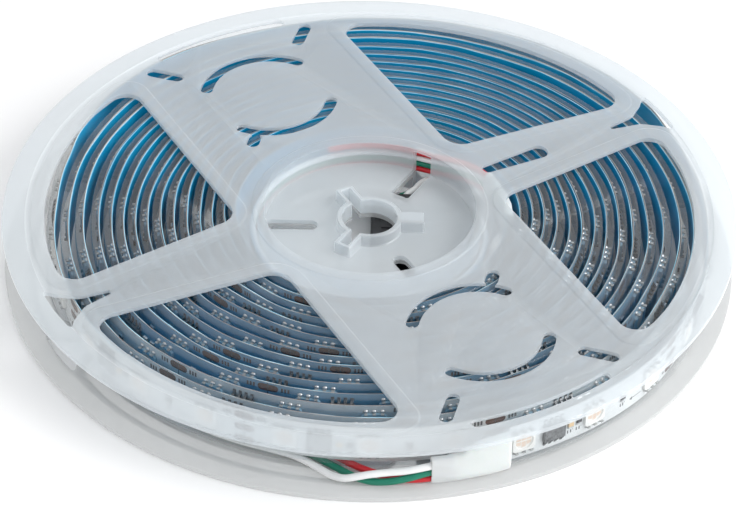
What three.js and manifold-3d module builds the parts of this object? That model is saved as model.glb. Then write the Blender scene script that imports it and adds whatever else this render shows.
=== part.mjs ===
// Addressable LED strip wound on a two-part plastic reel that lies on its side.
// Millimetres, +Z up. The origin is at the centre of the underside of the lower flange.
import * as THREE from 'three';
import { mergeVertices } from 'three/addons/utils/BufferGeometryUtils.js';
import Module from 'manifold-3d';

// ---------------------------------------------------------------- driving dimensions
// Shapes are drawn for a flange of radius 90 and then brought to real size: the flange is
// 154.8 mm across and 12.9 mm high overall, the circuit is 8.6 mm wide, and the lights are
// 16.7 mm apart, 60 to the metre.
const SCALE = 0.86;
const REEL_R = 90;            // flange radius
const REEL_H = 15;            // overall height over both flanges
const PLATE_T = 1.15;         // flange plate
const BEAD_T = 0.25;          // raised border of windows and rim over the plate
const BEAD_W = 3.4;           // width of that border
const RIM_W = 5.6;            // raised rim band
const PATTERN_DEG = 29.7;     // direction of the narrow spokes
const WELL_R = 26.0;          // hub well
const HUB_WALL = 1.6;
const FLOOR_T = 1.05;         // hub floor of each half
const HALF_GAP = 0.15;        // each half stops this far from the middle plane
const HOLE_R = 6.75;          // drive hole
const COLLAR_R = 8.1;
const COLLAR_H = 3.0;         // collar over the hub floor
const KEY_REACH = 13.4;
const KEY_W = 4.5;
const KEY_WALL = 1.05;
const WIRE_SLOT_DEG = 60;
const WIRE_SLOT_W = 5.0;

const STRIP_W = 10;           // width of the circuit
const LINER_T = 0.12;
const CIRCUIT_T = 0.2;
const JACKET_T = 1.75;
const GAP_IN = 0.57;          // liner face outside the middle of the gap between turns
const GAP_LINER = 0.08;       // liner to circuit
const GAP_CIRCUIT = 0.1;      // circuit to jacket
const STRIP_Z0 = 1.75;        // lower edge at the outer end
const STRIP_Z1 = 3.3;         // lower edge where the turns lie over the outer wires
const LED_PITCH = 19.4;
const START_DEG = -66.9;       // azimuth of the outer end of the strip
const TURNS_END = 14.83;      // turn coordinate of the inner end

const LEAD_D = 1.7;           // outer wires
const INNER_D = 1.5;          // inner wires
const SIDES = 8;

// ---------------------------------------------------------------- coil shape
// Turn coordinate t is 0 at azimuth 60 degrees on the outermost turn and grows
// by 1 for each turn inwards; azimuth = 60 + 360 t.
const GAP_TABLE = [81.4, 78.0, 74.6, 70.4, 67.0, 63.6, 60.4, 57.2, 54.2, 51.0,
  47.9, 44.7, 41.6, 38.5, 35.4, 32.3];
// The coil isn't round: offsets of its outer and inner radius at azimuths.
const OFF_AZ = [0, 60, 90, 135, 180, 225, 270, 296, 322, 342];
const OFF_OUT = [-0.2, 0, 0.2, -2.0, -3.6, -1.3, -0.9, -0.1, 1.0, 0.3];
const OFF_IN = [0.2, 0, -0.4, -1.4, -2.1, -1.6, -1.0, -0.5, 0, 0.1];
// The first half turn has sprung outwards: azimuths along it and how far it stands off.
const FLARE_AZ = [-66, -30, 0, 15, 26, 35, 45, 60, 75, 90, 108, 129, 143, 156, 166, 180];
const FLARE = [0, 0, 0.6, 1.4, 2.6, 4.1, 4.8, 5.0, 4.3, 3.2, 2.6, 4.1, 2.8, 1.5, 0.5, 0];

function cubic(p0, p1, p2, p3, u) {
  return 0.5 * ((2 * p1) + (-p0 + p2) * u + (2 * p0 - 5 * p1 + 4 * p2 - p3) * u * u
    + (-p0 + 3 * p1 - 3 * p2 + p3) * u * u * u);
}
function gapCurve(t) {
  const n = GAP_TABLE.length;
  const at = (i) => {
    if (i < 0) return GAP_TABLE[0] + (GAP_TABLE[0] - GAP_TABLE[1]) * (-i);
    if (i >= n) return GAP_TABLE[n - 1] - (GAP_TABLE[n - 2] - GAP_TABLE[n - 1]) * (i - n + 1);
    return GAP_TABLE[i];
  };
  const i = Math.floor(t);
  return cubic(at(i - 1), at(i), at(i + 1), at(i + 2), t - i);
}
function periodic(values, azDeg) {
  const a = ((azDeg % 360) + 360) % 360;
  const n = OFF_AZ.length;
  let i = n - 1;
  for (let k = 0; k < n; k += 1) if (a >= OFF_AZ[k]) i = k;
  const a0 = OFF_AZ[i];
  const a1 = i + 1 < n ? OFF_AZ[i + 1] : 360;
  const u = (a - a0) / (a1 - a0);
  const s = u * u * (3 - 2 * u);
  return values[i] * (1 - s) + values[(i + 1) % n] * s;
}
function flare(az) {
  const n = FLARE_AZ.length;
  if (az <= FLARE_AZ[0] || az >= FLARE_AZ[n - 1]) return 0;
  let i = 0;
  while (az > FLARE_AZ[i + 1]) i += 1;
  const u = (az - FLARE_AZ[i]) / (FLARE_AZ[i + 1] - FLARE_AZ[i]);
  const s = u * u * (3 - 2 * u);
  return FLARE[i] * (1 - s) + FLARE[i + 1] * s;
}
// Radius of the middle of the gap inside the turn.
function gapRadius(t) {
  const az = 60 + 360 * t;
  const share = Math.min(1.1, Math.max(0, (gapCurve(t) - 32.3) / (81.4 - 32.3)));
  return gapCurve(t) + periodic(OFF_OUT, az) * share + periodic(OFF_IN, az) * (1 - share)
    + flare(az);
}
function lowerEdge(t) {
  const u = Math.min(1, Math.max(0, (t + 0.167) / 0.5));
  return STRIP_Z0 + (STRIP_Z1 - STRIP_Z0) * u * u * (3 - 2 * u);
}
const tOf = (azDeg) => (azDeg - 60) / 360;

// ---------------------------------------------------------------- components on the strip
// Arc length along the strip, from a table of small steps.
const ARC = [];
{
  let s = 0;
  let prev = null;
  for (let t = tOf(START_DEG); t < 0.6; t += 0.0005) {
    const r = gapRadius(t) + 1.0;
    const a = (60 + 360 * t) * Math.PI / 180;
    const p = [r * Math.cos(a), r * Math.sin(a)];
    if (prev) s += Math.hypot(p[0] - prev[0], p[1] - prev[1]);
    ARC.push([t, s]);
    prev = p;
  }
}
const sAt = (t) => {
  let k = 0;
  while (k < ARC.length - 1 && ARC[k][0] < t) k += 1;
  return ARC[k][1];
};
const tAt = (s) => {
  let k = 0;
  while (k < ARC.length - 1 && ARC[k][1] < s) k += 1;
  return ARC[k][0];
};
const FIRST_LED_S = sAt(tOf(-64.4));
// name, place along the group in pitches, place across (0 = middle), length, width, height
const GROUP = [
  ['led', 0, 0, 5.8, 5.8, 1.45],
  ['driver_chip', 0.41, 0, 5.7, 4.5, 1.4],
  ['capacitor', 0.65, 0, 1.45, 2.3, 0.8],
  ['resistor_a', 0.775, 0, 1.45, 2.3, 0.6],
  ['led', 1, 0, 5.8, 5.8, 1.45],
  ['resistor_b', 1.47, 0, 1.45, 2.3, 0.6],
  ['led', 2, 0, 5.8, 5.8, 1.45],
];
const COMPONENTS = [];
for (let g = 0; g < 2; g += 1) {
  let led = 0;
  for (const [kind, at, across, len, wid, hgt] of GROUP) {
    const s = FIRST_LED_S + (g * 3 + at) * LED_PITCH;
    let name = `${kind}_${g + 1}`;
    if (kind === 'led') { led += 1; name = `led_${g * 3 + led}`; }
    COMPONENTS.push({ name, kind, s, t: tAt(s), across, len, wid, hgt });
  }
}

// ---------------------------------------------------------------- stations of the coil
const stations = [];
{
  // A flat facet under each component of the first groups.
  const t0 = tOf(START_DEG);
  const cuts = [t0];
  for (const c of COMPONENTS) {
    if (c.kind === 'capacitor' || c.kind === 'resistor_a') continue;
    const a = tAt(c.s - c.len / 2 - 0.35);
    const b = tAt(c.s + c.len / 2 + 0.35);
    cuts.push(Math.max(a, t0), b);
  }
  for (const c of COMPONENTS) {
    if (c.kind === 'resistor_a') cuts.push(tAt(c.s + c.len / 2 + 0.3));
  }
  cuts.sort((x, y) => x - y);
  let last = -9;
  for (const t of cuts) if (t - last > 0.0006) { stations.push(t); last = t; }
  let az = Math.ceil((60 + 360 * last + 3) / 15) * 15;
  while (tOf(az) < TURNS_END - 0.004) { stations.push(tOf(az)); az += 15; }
  stations.push(TURNS_END);
}

function pointAt(t, offset) {
  const r = gapRadius(t) + offset;
  const a = (60 + 360 * t) * Math.PI / 180;
  return [r * Math.cos(a), r * Math.sin(a)];
}
// A ribbon that follows the stations, from radius offset a to b, zlo above the lower edge to zhi.
function ribbon(a, b, zlo, zhi) {
  const pos = [];
  const idx = [];
  stations.forEach((t) => {
    const pi = pointAt(t, a);
    const po = pointAt(t, b);
    const z = lowerEdge(t);
    pos.push(pi[0], pi[1], z + zlo, po[0], po[1], z + zlo,
      po[0], po[1], z + zhi, pi[0], pi[1], z + zhi);
  });
  const n = stations.length;
  for (let i = 0; i < n - 1; i += 1) {
    for (let k = 0; k < 4; k += 1) {
      const p = i * 4 + k;
      const q = i * 4 + ((k + 1) % 4);
      const r = p + 4;
      const s = q + 4;
      idx.push(p, q, s, p, s, r);
    }
  }
  idx.push(0, 2, 1, 0, 3, 2);
  const e = (n - 1) * 4;
  idx.push(e, e + 1, e + 2, e, e + 2, e + 3);
  const g = new THREE.BufferGeometry();
  g.setAttribute('position', new THREE.Float32BufferAttribute(pos, 3));
  g.setIndex(idx);
  let vol = 0;
  for (let i = 0; i < idx.length; i += 3) {
    const A = idx[i] * 3; const B = idx[i + 1] * 3; const C = idx[i + 2] * 3;
    vol += pos[A] * (pos[B + 1] * pos[C + 2] - pos[B + 2] * pos[C + 1])
      + pos[A + 1] * (pos[B + 2] * pos[C] - pos[B] * pos[C + 2])
      + pos[A + 2] * (pos[B] * pos[C + 1] - pos[B + 1] * pos[C]);
  }
  if (vol < 0) {
    for (let i = 0; i < idx.length; i += 3) { const x = idx[i + 1]; idx[i + 1] = idx[i + 2]; idx[i + 2] = x; }
    g.setIndex(idx);
  }
  return g;
}

// ---------------------------------------------------------------- booleans
const wasm = await Module();
wasm.setup();
function solid(geometry) {
  let g = geometry.clone();
  if (g.index === null || g.attributes.normal || g.attributes.uv) {
    g.deleteAttribute('normal');
    g.deleteAttribute('uv');
    g = mergeVertices(g, 1e-4);
  }
  return new wasm.Manifold(new wasm.Mesh({
    numProp: 3,
    vertProperties: new Float32Array(g.attributes.position.array),
    triVerts: new Uint32Array(g.index.array),
  }));
}
function geometryOf(m) {
  const mesh = m.getMesh();
  const g = new THREE.BufferGeometry();
  const n = mesh.numProp;
  const pos = [];
  for (let i = 0; i < mesh.vertProperties.length; i += n) {
    pos.push(mesh.vertProperties[i], mesh.vertProperties[i + 1], mesh.vertProperties[i + 2]);
  }
  g.setAttribute('position', new THREE.Float32BufferAttribute(pos, 3));
  g.setIndex(Array.from(mesh.triVerts));
  return g;
}
const moved = (geometry, matrix) => { const g = geometry.clone(); g.applyMatrix4(matrix); return g; };
function boxAt(x0, x1, y0, y1, z0, z1, deg = 0) {
  const g = new THREE.BoxGeometry(x1 - x0, y1 - y0, z1 - z0);
  g.translate((x0 + x1) / 2, (y0 + y1) / 2, (z0 + z1) / 2);
  g.rotateZ(deg * Math.PI / 180);
  return g;
}
function extrude(points, z0, z1, holes = [], deg = 0) {
  const shape = new THREE.Shape(points.map((p) => new THREE.Vector2(p[0], p[1])));
  holes.forEach((h) => shape.holes.push(new THREE.Path(h.map((p) => new THREE.Vector2(p[0], p[1])))));
  const g = new THREE.ExtrudeGeometry(shape, { depth: z1 - z0, bevelEnabled: false, curveSegments: 1 });
  g.translate(0, 0, z0);
  g.rotateZ(deg * Math.PI / 180);
  return g;
}
const circle = (r, n, cx = 0, cy = 0) => Array.from({ length: n }, (_, i) => {
  const a = (i / n) * Math.PI * 2;
  return [cx + r * Math.cos(a), cy + r * Math.sin(a)];
});

// ---------------------------------------------------------------- flange outlines (pattern frame)
// Corner rounding of a closed polygon: every corner gets its own radius.
function rounded(corners, steps = 2) {
  const out = [];
  const n = corners.length;
  for (let i = 0; i < n; i += 1) {
    const [x, y, r] = corners[i];
    if (!r) { out.push([x, y]); continue; }
    const p = corners[(i + n - 1) % n];
    const q = corners[(i + 1) % n];
    const d1 = [p[0] - x, p[1] - y];
    const d2 = [q[0] - x, q[1] - y];
    const l1 = Math.hypot(...d1);
    const l2 = Math.hypot(...d2);
    d1[0] /= l1; d1[1] /= l1; d2[0] /= l2; d2[1] /= l2;
    const ang = Math.acos(Math.max(-1, Math.min(1, d1[0] * d2[0] + d1[1] * d2[1])));
    const cut = Math.min(r / Math.tan(ang / 2), l1 * 0.49, l2 * 0.49);
    const rr = cut * Math.tan(ang / 2);
    const bis = [d1[0] + d2[0], d1[1] + d2[1]];
    const bl = Math.hypot(...bis);
    const c = [x + bis[0] / bl * rr / Math.sin(ang / 2), y + bis[1] / bl * rr / Math.sin(ang / 2)];
    const s = [x + d1[0] * cut, y + d1[1] * cut];
    const e = [x + d2[0] * cut, y + d2[1] * cut];
    let a0 = Math.atan2(s[1] - c[1], s[0] - c[0]);
    let a1 = Math.atan2(e[1] - c[1], e[0] - c[0]);
    while (a1 - a0 > Math.PI) a1 -= 2 * Math.PI;
    while (a1 - a0 < -Math.PI) a1 += 2 * Math.PI;
    for (let k = 0; k <= steps; k += 1) {
      const a = a0 + (a1 - a0) * k / steps;
      out.push([c[0] + rr * Math.cos(a), c[1] + rr * Math.sin(a)]);
    }
  }
  return out;
}
const WIN_U = 0.337 * REEL_R;
const WIN_ARC = 0.885 * REEL_R;
// Window outline in the first quadrant, grown outwards by g.
function windowOutline(g) {
  const u0 = WIN_U - g;
  const rr = WIN_ARC + g;
  const spoke = (u) => (0.127 + (u / REEL_R - 0.337) * (0.079 - 0.127) / (0.882 - 0.337)) * REEL_R - g;
  let u1 = 0.88 * REEL_R;
  for (let k = 0; k < 20; k += 1) u1 = Math.sqrt(rr * rr - spoke(u1) ** 2);
  const a0 = Math.atan2(spoke(u1), u1);
  const a1 = Math.acos(u0 / rr);
  const n = 6;
  const corners = [[u0, spoke(u0), 5.0 + g]];
  for (let k = 0; k <= n; k += 1) {
    const a = a0 + (a1 - a0) * k / n;
    corners.push([rr * Math.cos(a), rr * Math.sin(a), (k === 0 || k === n) ? 4.6 + g : 0]);
  }
  return rounded(corners);
}
const mirror = (pts, su, sv) => {
  const m = pts.map((p) => [p[0] * su, p[1] * sv]);
  return su * sv < 0 ? m.reverse() : m;
};
const quadrants = [[1, 1], [-1, 1], [-1, -1], [1, -1]];
// A slot of constant width along an arc about (cx, cy), with round ends.
function arcSlot(cx, cy, r, w, a0, a1, n) {
  const d = Math.PI / 180;
  const out = [];
  for (let k = 0; k <= n; k += 1) {
    const a = (a0 + (a1 - a0) * k / n) * d;
    out.push([cx + (r + w / 2) * Math.cos(a), cy + (r + w / 2) * Math.sin(a)]);
  }
  const cap = (ang, sgn) => {
    for (let k = 1; k < 3; k += 1) {
      const b = ang * d + sgn * Math.PI * k / 3;
      out.push([cx + r * Math.cos(ang * d) + w / 2 * Math.cos(b),
        cy + r * Math.sin(ang * d) + w / 2 * Math.sin(b)]);
    }
  };
  cap(a1, 1);
  for (let k = n; k >= 0; k -= 1) {
    const a = (a0 + (a1 - a0) * k / n) * d;
    out.push([cx + (r - w / 2) * Math.cos(a), cy + (r - w / 2) * Math.sin(a)]);
  }
  for (let k = 1; k < 3; k += 1) {
    const b = a0 * d + Math.PI + Math.PI * k / 3;
    out.push([cx + r * Math.cos(a0 * d) + w / 2 * Math.cos(b),
      cy + r * Math.sin(a0 * d) + w / 2 * Math.sin(b)]);
  }
  return out;
}
function capsule(x0, y0, x1, y1, w) {
  const a = Math.atan2(y1 - y0, x1 - x0);
  const out = [];
  for (let k = 0; k <= 4; k += 1) {
    const b = a - Math.PI / 2 + Math.PI * k / 4;
    out.push([x1 + w / 2 * Math.cos(b), y1 + w / 2 * Math.sin(b)]);
  }
  for (let k = 0; k <= 4; k += 1) {
    const b = a + Math.PI / 2 + Math.PI * k / 4;
    out.push([x0 + w / 2 * Math.cos(b), y0 + w / 2 * Math.sin(b)]);
  }
  return out;
}
const R = REEL_R;
const small = [];
for (const s of [1, -1]) {
  small.push(arcSlot(0, s * 0.595 * R, 0.18 * R, 0.035 * R, s > 0 ? 35 : 215, s > 0 ? 145 : 325, 5));
  small.push(arcSlot(0, s * 0.595 * R, 0.18 * R, 0.035 * R, s > 0 ? 218 : 38, s > 0 ? 322 : 142, 5));
  small.push(arcSlot(0, 0, 0.9185 * R, 0.028 * R, s > 0 ? 78 : 258, s > 0 ? 102 : 282, 4));
  for (const t of [1, -1]) {
    small.push(capsule(t * 0.248 * R, s * 0.843 * R, t * 0.197 * R, s * 0.790 * R, 0.036 * R));
  }
}
const nubs = [
  capsule(-0.13 * R, 0.43 * R, -0.16 * R, 0.395 * R, 0.03 * R),
  capsule(0.13 * R, -0.43 * R, 0.16 * R, -0.395 * R, 0.03 * R),
];
const spokeCuts = [];
spokeCuts.push(rounded([[0.36 * R, 0.017 * R, 1.4], [0.36 * R, -0.017 * R, 1.4],
  [0.565 * R, -0.03 * R, 2.4], [0.565 * R, 0.03 * R, 2.4]].reverse()));
for (const s of [1, -1]) {
  spokeCuts.push(rounded([
    [s * 0.780 * R, -0.006 * R, 0.5], [s * 0.865 * R, -0.022 * R, 0], [s * 0.915 * R, -0.062 * R, 0],
    [s * 0.936 * R, -0.094 * R, 1.2], [s * 0.943 * R, 0, 0], [s * 0.940 * R, 0.086 * R, 1.2],
    [s * 0.915 * R, 0.058 * R, 0], [s * 0.865 * R, 0.022 * R, 0], [s * 0.780 * R, 0.010 * R, 0.5],
  ]));
}
const area = (pts) => pts.reduce((a, p, i) => {
  const q = pts[(i + 1) % pts.length];
  return a + p[0] * q[1] - p[1] * q[0];
}, 0) / 2;
const ccw = (pts) => (area(pts) < 0 ? pts.slice().reverse() : pts);

function reelHalf(withCollar) {
  const top = REEL_H;
  const plateTop = top - BEAD_T;
  const plateLow = top - BEAD_T - PLATE_T;
  const mid = top / 2 + HALF_GAP;
  let m = solid(extrude(circle(R, 64), plateLow, plateTop, [circle(WELL_R, 40)]));
  // raised rim and the raised borders of the four windows
  m = m.add(solid(extrude(circle(R, 64), plateTop - 0.4, top, [circle(R - RIM_W, 64)])));
  for (const [su, sv] of quadrants) {
    m = m.add(solid(extrude(ccw(mirror(windowOutline(BEAD_W), su, sv)), plateTop - 0.4, top, [], PATTERN_DEG)));
  }
  for (const [su, sv] of quadrants) {
    m = m.subtract(solid(extrude(ccw(mirror(windowOutline(0), su, sv)), plateLow - 1, top + 1, [], PATTERN_DEG)));
  }
  for (const h of [...small, ...nubs, ...spokeCuts]) {
    m = m.subtract(solid(extrude(ccw(h), plateLow - 1, top + 1, [], PATTERN_DEG)));
  }
  // hub wall, floor, drive collar and key boxes
  m = m.add(solid(extrude(circle(WELL_R + HUB_WALL, 40), mid, plateLow + 0.4, [circle(WELL_R, 40)])));
  m = m.add(solid(extrude(circle(WELL_R + 0.5, 40), mid, mid + FLOOR_T)));
  if (withCollar) {
    m = m.add(solid(extrude(circle(COLLAR_R, 32), mid + 0.2, mid + FLOOR_T + COLLAR_H)));
    for (const d of [0, 120, 240]) {
      m = m.add(solid(boxAt(0, KEY_REACH, -KEY_W / 2, KEY_W / 2, mid + 0.2, mid + FLOOR_T + COLLAR_H, d)));
    }
  }
  for (const d of [120, 240]) {
    const w = KEY_W / 2 - KEY_WALL;
    m = m.subtract(solid(boxAt(0, KEY_REACH - KEY_WALL, -w, w, mid - 1, top, d)));
  }
  m = m.subtract(solid(extrude(circle(HOLE_R, 32), mid - 1, top)));
  // floor slots and the wire slot through floor and wall
  m = m.subtract(solid(extrude(ccw(capsule(14.6, 0, 24.0, 0, 3.6)), mid - 1, mid + FLOOR_T + 0.5, [], 180)));
  m = m.subtract(solid(extrude(ccw(capsule(15.4, 0, 24.0, 0, 3.6)), mid - 1, mid + FLOOR_T + 0.5, [], 300)));
  m = m.subtract(solid(boxAt(14.6, WELL_R + HUB_WALL + 0.6, -WIRE_SLOT_W / 2, WIRE_SLOT_W / 2,
    mid - 1, mid + FLOOR_T + 0.5, WIRE_SLOT_DEG)));
  m = m.subtract(solid(boxAt(WELL_R - 1.5, WELL_R + HUB_WALL + 0.6, -WIRE_SLOT_W / 2, WIRE_SLOT_W / 2,
    mid - 1, top - 0.8, WIRE_SLOT_DEG)));
  return m;
}

// ---------------------------------------------------------------- round wires
// Catmull-Rom points with equal steps along the route.
function wire(points, diameter) {
  const curve = new THREE.CatmullRomCurve3(points.map((p) => new THREE.Vector3(...p)), false, 'centripetal');
  const len = curve.getLength();
  const steps = Math.min(80, Math.max(4, Math.round(len / (diameter * 2.25))));
  const shape = new THREE.Shape(circle(diameter / 2, SIDES).map((p) => new THREE.Vector2(p[0], p[1])));
  return new THREE.ExtrudeGeometry(shape, { steps, bevelEnabled: false, extrudePath: curve, curveSegments: 1 });
}
const polar = (r, azDeg, z) => [r * Math.cos(azDeg * Math.PI / 180), r * Math.sin(azDeg * Math.PI / 180), z];

// ---------------------------------------------------------------- assembly
const object = new THREE.Group();
const MATERIAL = {
  reel: new THREE.MeshStandardMaterial({ color: 0xdde6ee, roughness: 0.45, metalness: 0 }),
  jacket: new THREE.MeshStandardMaterial({ color: 0xe8edf0, roughness: 0.25, metalness: 0 }),
  circuit: new THREE.MeshStandardMaterial({ color: 0xf2f1ec, roughness: 0.5, metalness: 0 }),
  liner: new THREE.MeshStandardMaterial({ color: 0x0a78b8, roughness: 0.4, metalness: 0 }),
  led: new THREE.MeshStandardMaterial({ color: 0xf4efe2, roughness: 0.4, metalness: 0 }),
  chip: new THREE.MeshStandardMaterial({ color: 0x34373a, roughness: 0.6, metalness: 0 }),
  cap: new THREE.MeshStandardMaterial({ color: 0xc9a06a, roughness: 0.5, metalness: 0 }),
  resistor: new THREE.MeshStandardMaterial({ color: 0x2b2b2e, roughness: 0.4, metalness: 0 }),
  silicone: new THREE.MeshStandardMaterial({ color: 0xf3f3f0, roughness: 0.55, metalness: 0 }),
  white: new THREE.MeshStandardMaterial({ color: 0xeeeeee, roughness: 0.4, metalness: 0 }),
  green: new THREE.MeshStandardMaterial({ color: 0x0f8a64, roughness: 0.4, metalness: 0 }),
  red: new THREE.MeshStandardMaterial({ color: 0xc81f28, roughness: 0.4, metalness: 0 }),
  black: new THREE.MeshStandardMaterial({ color: 0x16171a, roughness: 0.4, metalness: 0 }),
  metal: new THREE.MeshStandardMaterial({ color: 0xd8d2c4, roughness: 0.3, metalness: 1 }),
};
function add(name, geometry, material) {
  geometry.scale(SCALE, SCALE, SCALE);
  const mesh = new THREE.Mesh(geometry, material);
  mesh.name = name;
  object.add(mesh);
  return mesh;
}

// reel
add('reel_top_half', geometryOf(reelHalf(true)), MATERIAL.reel);
{
  // the lower half is the mirror image of the upper half, without the drive collar
  const g = geometryOf(reelHalf(false));
  const p = g.attributes.position;
  for (let i = 0; i < p.count; i += 1) p.setZ(i, REEL_H - p.getZ(i));
  const idx = Array.from(g.index.array);
  for (let i = 0; i < idx.length; i += 3) { const x = idx[i + 1]; idx[i + 1] = idx[i + 2]; idx[i + 2] = x; }
  g.setIndex(idx);
  add('reel_bottom_half', g, MATERIAL.reel);
}

// strip layers, from the hub side outwards
const L0 = GAP_IN;
const L1 = L0 + LINER_T;
const C0 = L1 + GAP_LINER;
const C1 = C0 + CIRCUIT_T;
const J0 = C1 + GAP_CIRCUIT;
const J1 = J0 + JACKET_T;
add('strip_liner', ribbon(L0, L1, -0.05, STRIP_W + 0.05), MATERIAL.liner);
add('strip_circuit', ribbon(C0, C1, 0, STRIP_W), MATERIAL.circuit);

// components sit on the outer face of the circuit, each in a pocket of the jacket
function placeOnCircuit(c, len, wid, lo, hi) {
  let k = 0;
  while (k < stations.length - 2 && stations[k + 1] < c.t) k += 1;
  const a = pointAt(stations[k], C1);
  const b = pointAt(stations[k + 1], C1);
  const u = (c.t - stations[k]) / (stations[k + 1] - stations[k]);
  const x = a[0] + (b[0] - a[0]) * u;
  const y = a[1] + (b[1] - a[1]) * u;
  const ang = Math.atan2(b[1] - a[1], b[0] - a[0]);
  const g = new THREE.BoxGeometry(len, hi - lo, wid);
  g.translate(0, -(hi + lo) / 2, 0);
  g.rotateZ(ang);
  g.translate(x, y, lowerEdge(c.t) + STRIP_W / 2 + c.across);
  return g;
}
let jacket = solid(ribbon(J0, J1, 0, STRIP_W));
for (const c of COMPONENTS) {
  jacket = jacket.subtract(solid(placeOnCircuit(c, c.len + 0.3, c.wid + 0.3, -0.3, c.hgt + 0.2)));
}
add('strip_jacket', geometryOf(jacket), MATERIAL.jacket);
for (const c of COMPONENTS) {
  const mat = { led: MATERIAL.led, driver_chip: MATERIAL.chip, capacitor: MATERIAL.cap }[c.kind] ?? MATERIAL.resistor;
  add(c.name, placeOnCircuit(c, c.len, c.wid, 0.12, c.hgt), mat);
}

// outer end: cap over the solder joints, sleeve, three wires
function alongArc(r, azDeg, dAz, thick, z0, z1) {
  // a block whose long side is the chord at azimuth azDeg
  const len = 2 * r * Math.sin(dAz / 2 * Math.PI / 180);
  const g = new THREE.BoxGeometry(thick, len, z1 - z0);
  g.translate(r * Math.cos(dAz / 2 * Math.PI / 180), 0, (z0 + z1) / 2);
  g.rotateZ(azDeg * Math.PI / 180);
  return g;
}
function flatTube(r, azDeg, dAz, thick, wall, z0, z1) {
  const len = 2 * r * Math.sin(dAz / 2 * Math.PI / 180);
  const h = z1 - z0;
  const ring = (t) => {
    const w = thick / 2 - t;
    const s = h / 2 - thick / 2;
    const out = [];
    for (let k = 0; k <= 5; k += 1) { const b = Math.PI * k / 5; out.push([w * Math.cos(b), s + w * Math.sin(b)]); }
    for (let k = 0; k <= 5; k += 1) { const b = Math.PI + Math.PI * k / 5; out.push([w * Math.cos(b), -s + w * Math.sin(b)]); }
    return out;
  };
  const shape = new THREE.Shape(ring(0).map((p) => new THREE.Vector2(p[0], p[1])));
  shape.holes.push(new THREE.Path(ring(wall).map((p) => new THREE.Vector2(p[0], p[1]))));
  const g = new THREE.ExtrudeGeometry(shape, { depth: len, bevelEnabled: false, curveSegments: 1 });
  g.translate(0, 0, -len / 2);
  g.rotateX(Math.PI / 2);
  g.translate(r * Math.cos(dAz / 2 * Math.PI / 180), 0, (z0 + z1) / 2);
  g.rotateZ(azDeg * Math.PI / 180);
  return g;
}
const OUT_R = gapRadius(tOf(START_DEG)) + 1.75;
add('outer_end_cap', alongArc(OUT_R + 0.1, -70.1, 6.0, 2.7, STRIP_Z0 - 0.1, STRIP_Z0 + STRIP_W + 0.1), MATERIAL.silicone);
add('outer_sleeve', flatTube(85.9, -76.6, 6.6, 2.7, 0.35, 1.6, 9.0), MATERIAL.silicone);
const outerRoutes = {
  white: [polar(85.7, -74.6, 7.2), polar(85.9, -77.5, 7.1), polar(86.0, -80.3, 6.6), polar(85.9, -83.5, 5.75),
    polar(85.6, -86.7, 5.1), polar(85.6, -89.3, 4.55), polar(85.7, -91.1, 3.95), polar(85.5, -93.0, 3.1),
    polar(84.2, -95.0, 2.42), polar(82.6, -96.7, 2.33), polar(80.7, -98.9, 2.33), polar(78.9, -102.0, 2.33),
    polar(78.2, -106.0, 2.33), polar(78.1, -111.0, 2.33), polar(78.1, -116.0, 2.33), polar(78.1, -121.0, 2.33)],
  green: [polar(85.7, -74.6, 5.35), polar(85.9, -77.5, 5.3), polar(86.0, -80.3, 4.8), polar(86.3, -83.2, 3.9),
    polar(86.3, -86.3, 3.0), polar(85.5, -89.1, 2.4), polar(83.9, -91.6, 2.33), polar(81.8, -94.0, 2.33),
    polar(79.6, -96.6, 2.33), polar(77.6, -99.6, 2.33), polar(76.4, -103.4, 2.33), polar(76.1, -108.0, 2.33),
    polar(76.1, -113.0, 2.33), polar(76.1, -118.0, 2.33)],
  red: [polar(85.7, -74.6, 3.5), polar(85.9, -77.5, 3.4), polar(85.7, -80.3, 2.8), polar(85.1, -83.2, 2.35),
    polar(84.0, -86.0, 2.33), polar(82.4, -88.8, 2.33), polar(80.4, -91.4, 2.33), polar(78.2, -94.0, 2.33),
    polar(76.1, -97.0, 2.33), polar(74.6, -100.6, 2.33), polar(74.1, -105.0, 2.33), polar(74.1, -110.0, 2.33),
    polar(74.1, -115.0, 2.33)],
};
for (const k of ['white', 'green', 'red']) add(`outer_lead_${k}`, wire(outerRoutes[k], LEAD_D), MATERIAL[k]);

// inner end: cap, sleeve, three wires to the connector and a spare supply wire
const IN_AZ = 60 + 360 * TURNS_END;
const IN_R = 34.25;
add('inner_end_cap', alongArc(IN_R, IN_AZ + 9.0, 16.4, 2.6, STRIP_Z1 - 0.1, STRIP_Z1 + STRIP_W + 0.0), MATERIAL.silicone);
add('inner_sleeve', flatTube(33.9, IN_AZ + 24.2, 13.0, 2.7, 0.25, 5.8, 13.45), MATERIAL.silicone);
const Z_IN = { power: 12.05, white: 10.43, green: 8.81, red: 7.19 };
const DROP = 4.9;             // fall in one turn round the hub
function innerRoute(z) {
  const c = IN_AZ + 24.2;
  return [polar(33.78, c - 4.5, z), polar(33.68, c, z), polar(33.85, c + 6.0, z), polar(33.5, c + 12, z),
    polar(32.4, c + 19, z), polar(30.7, c + 27, z), polar(29.3, c + 35, z)];
}
const BASE = Math.round(IN_AZ / 360) * 360;  // the same azimuths, one turn counted on
function innerLead(z, plug) {
  const out = innerRoute(z);
  for (let a = 66; a <= 402; a += 12) {
    const f = Math.max(0, (a - 66) / 336);
    out.push(polar(28.72, a, z - DROP * f));
  }
  const zl = z - DROP;
  out.push(polar(28.72, 410, zl), polar(28.5, 414.8, zl), polar(27.9, 417.5, zl), polar(26.7, 419.5, zl - 0.1),
    polar(25.2, 420.6, zl - 0.35));
  plug.forEach((p) => out.push(p));
  return out;
}
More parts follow.
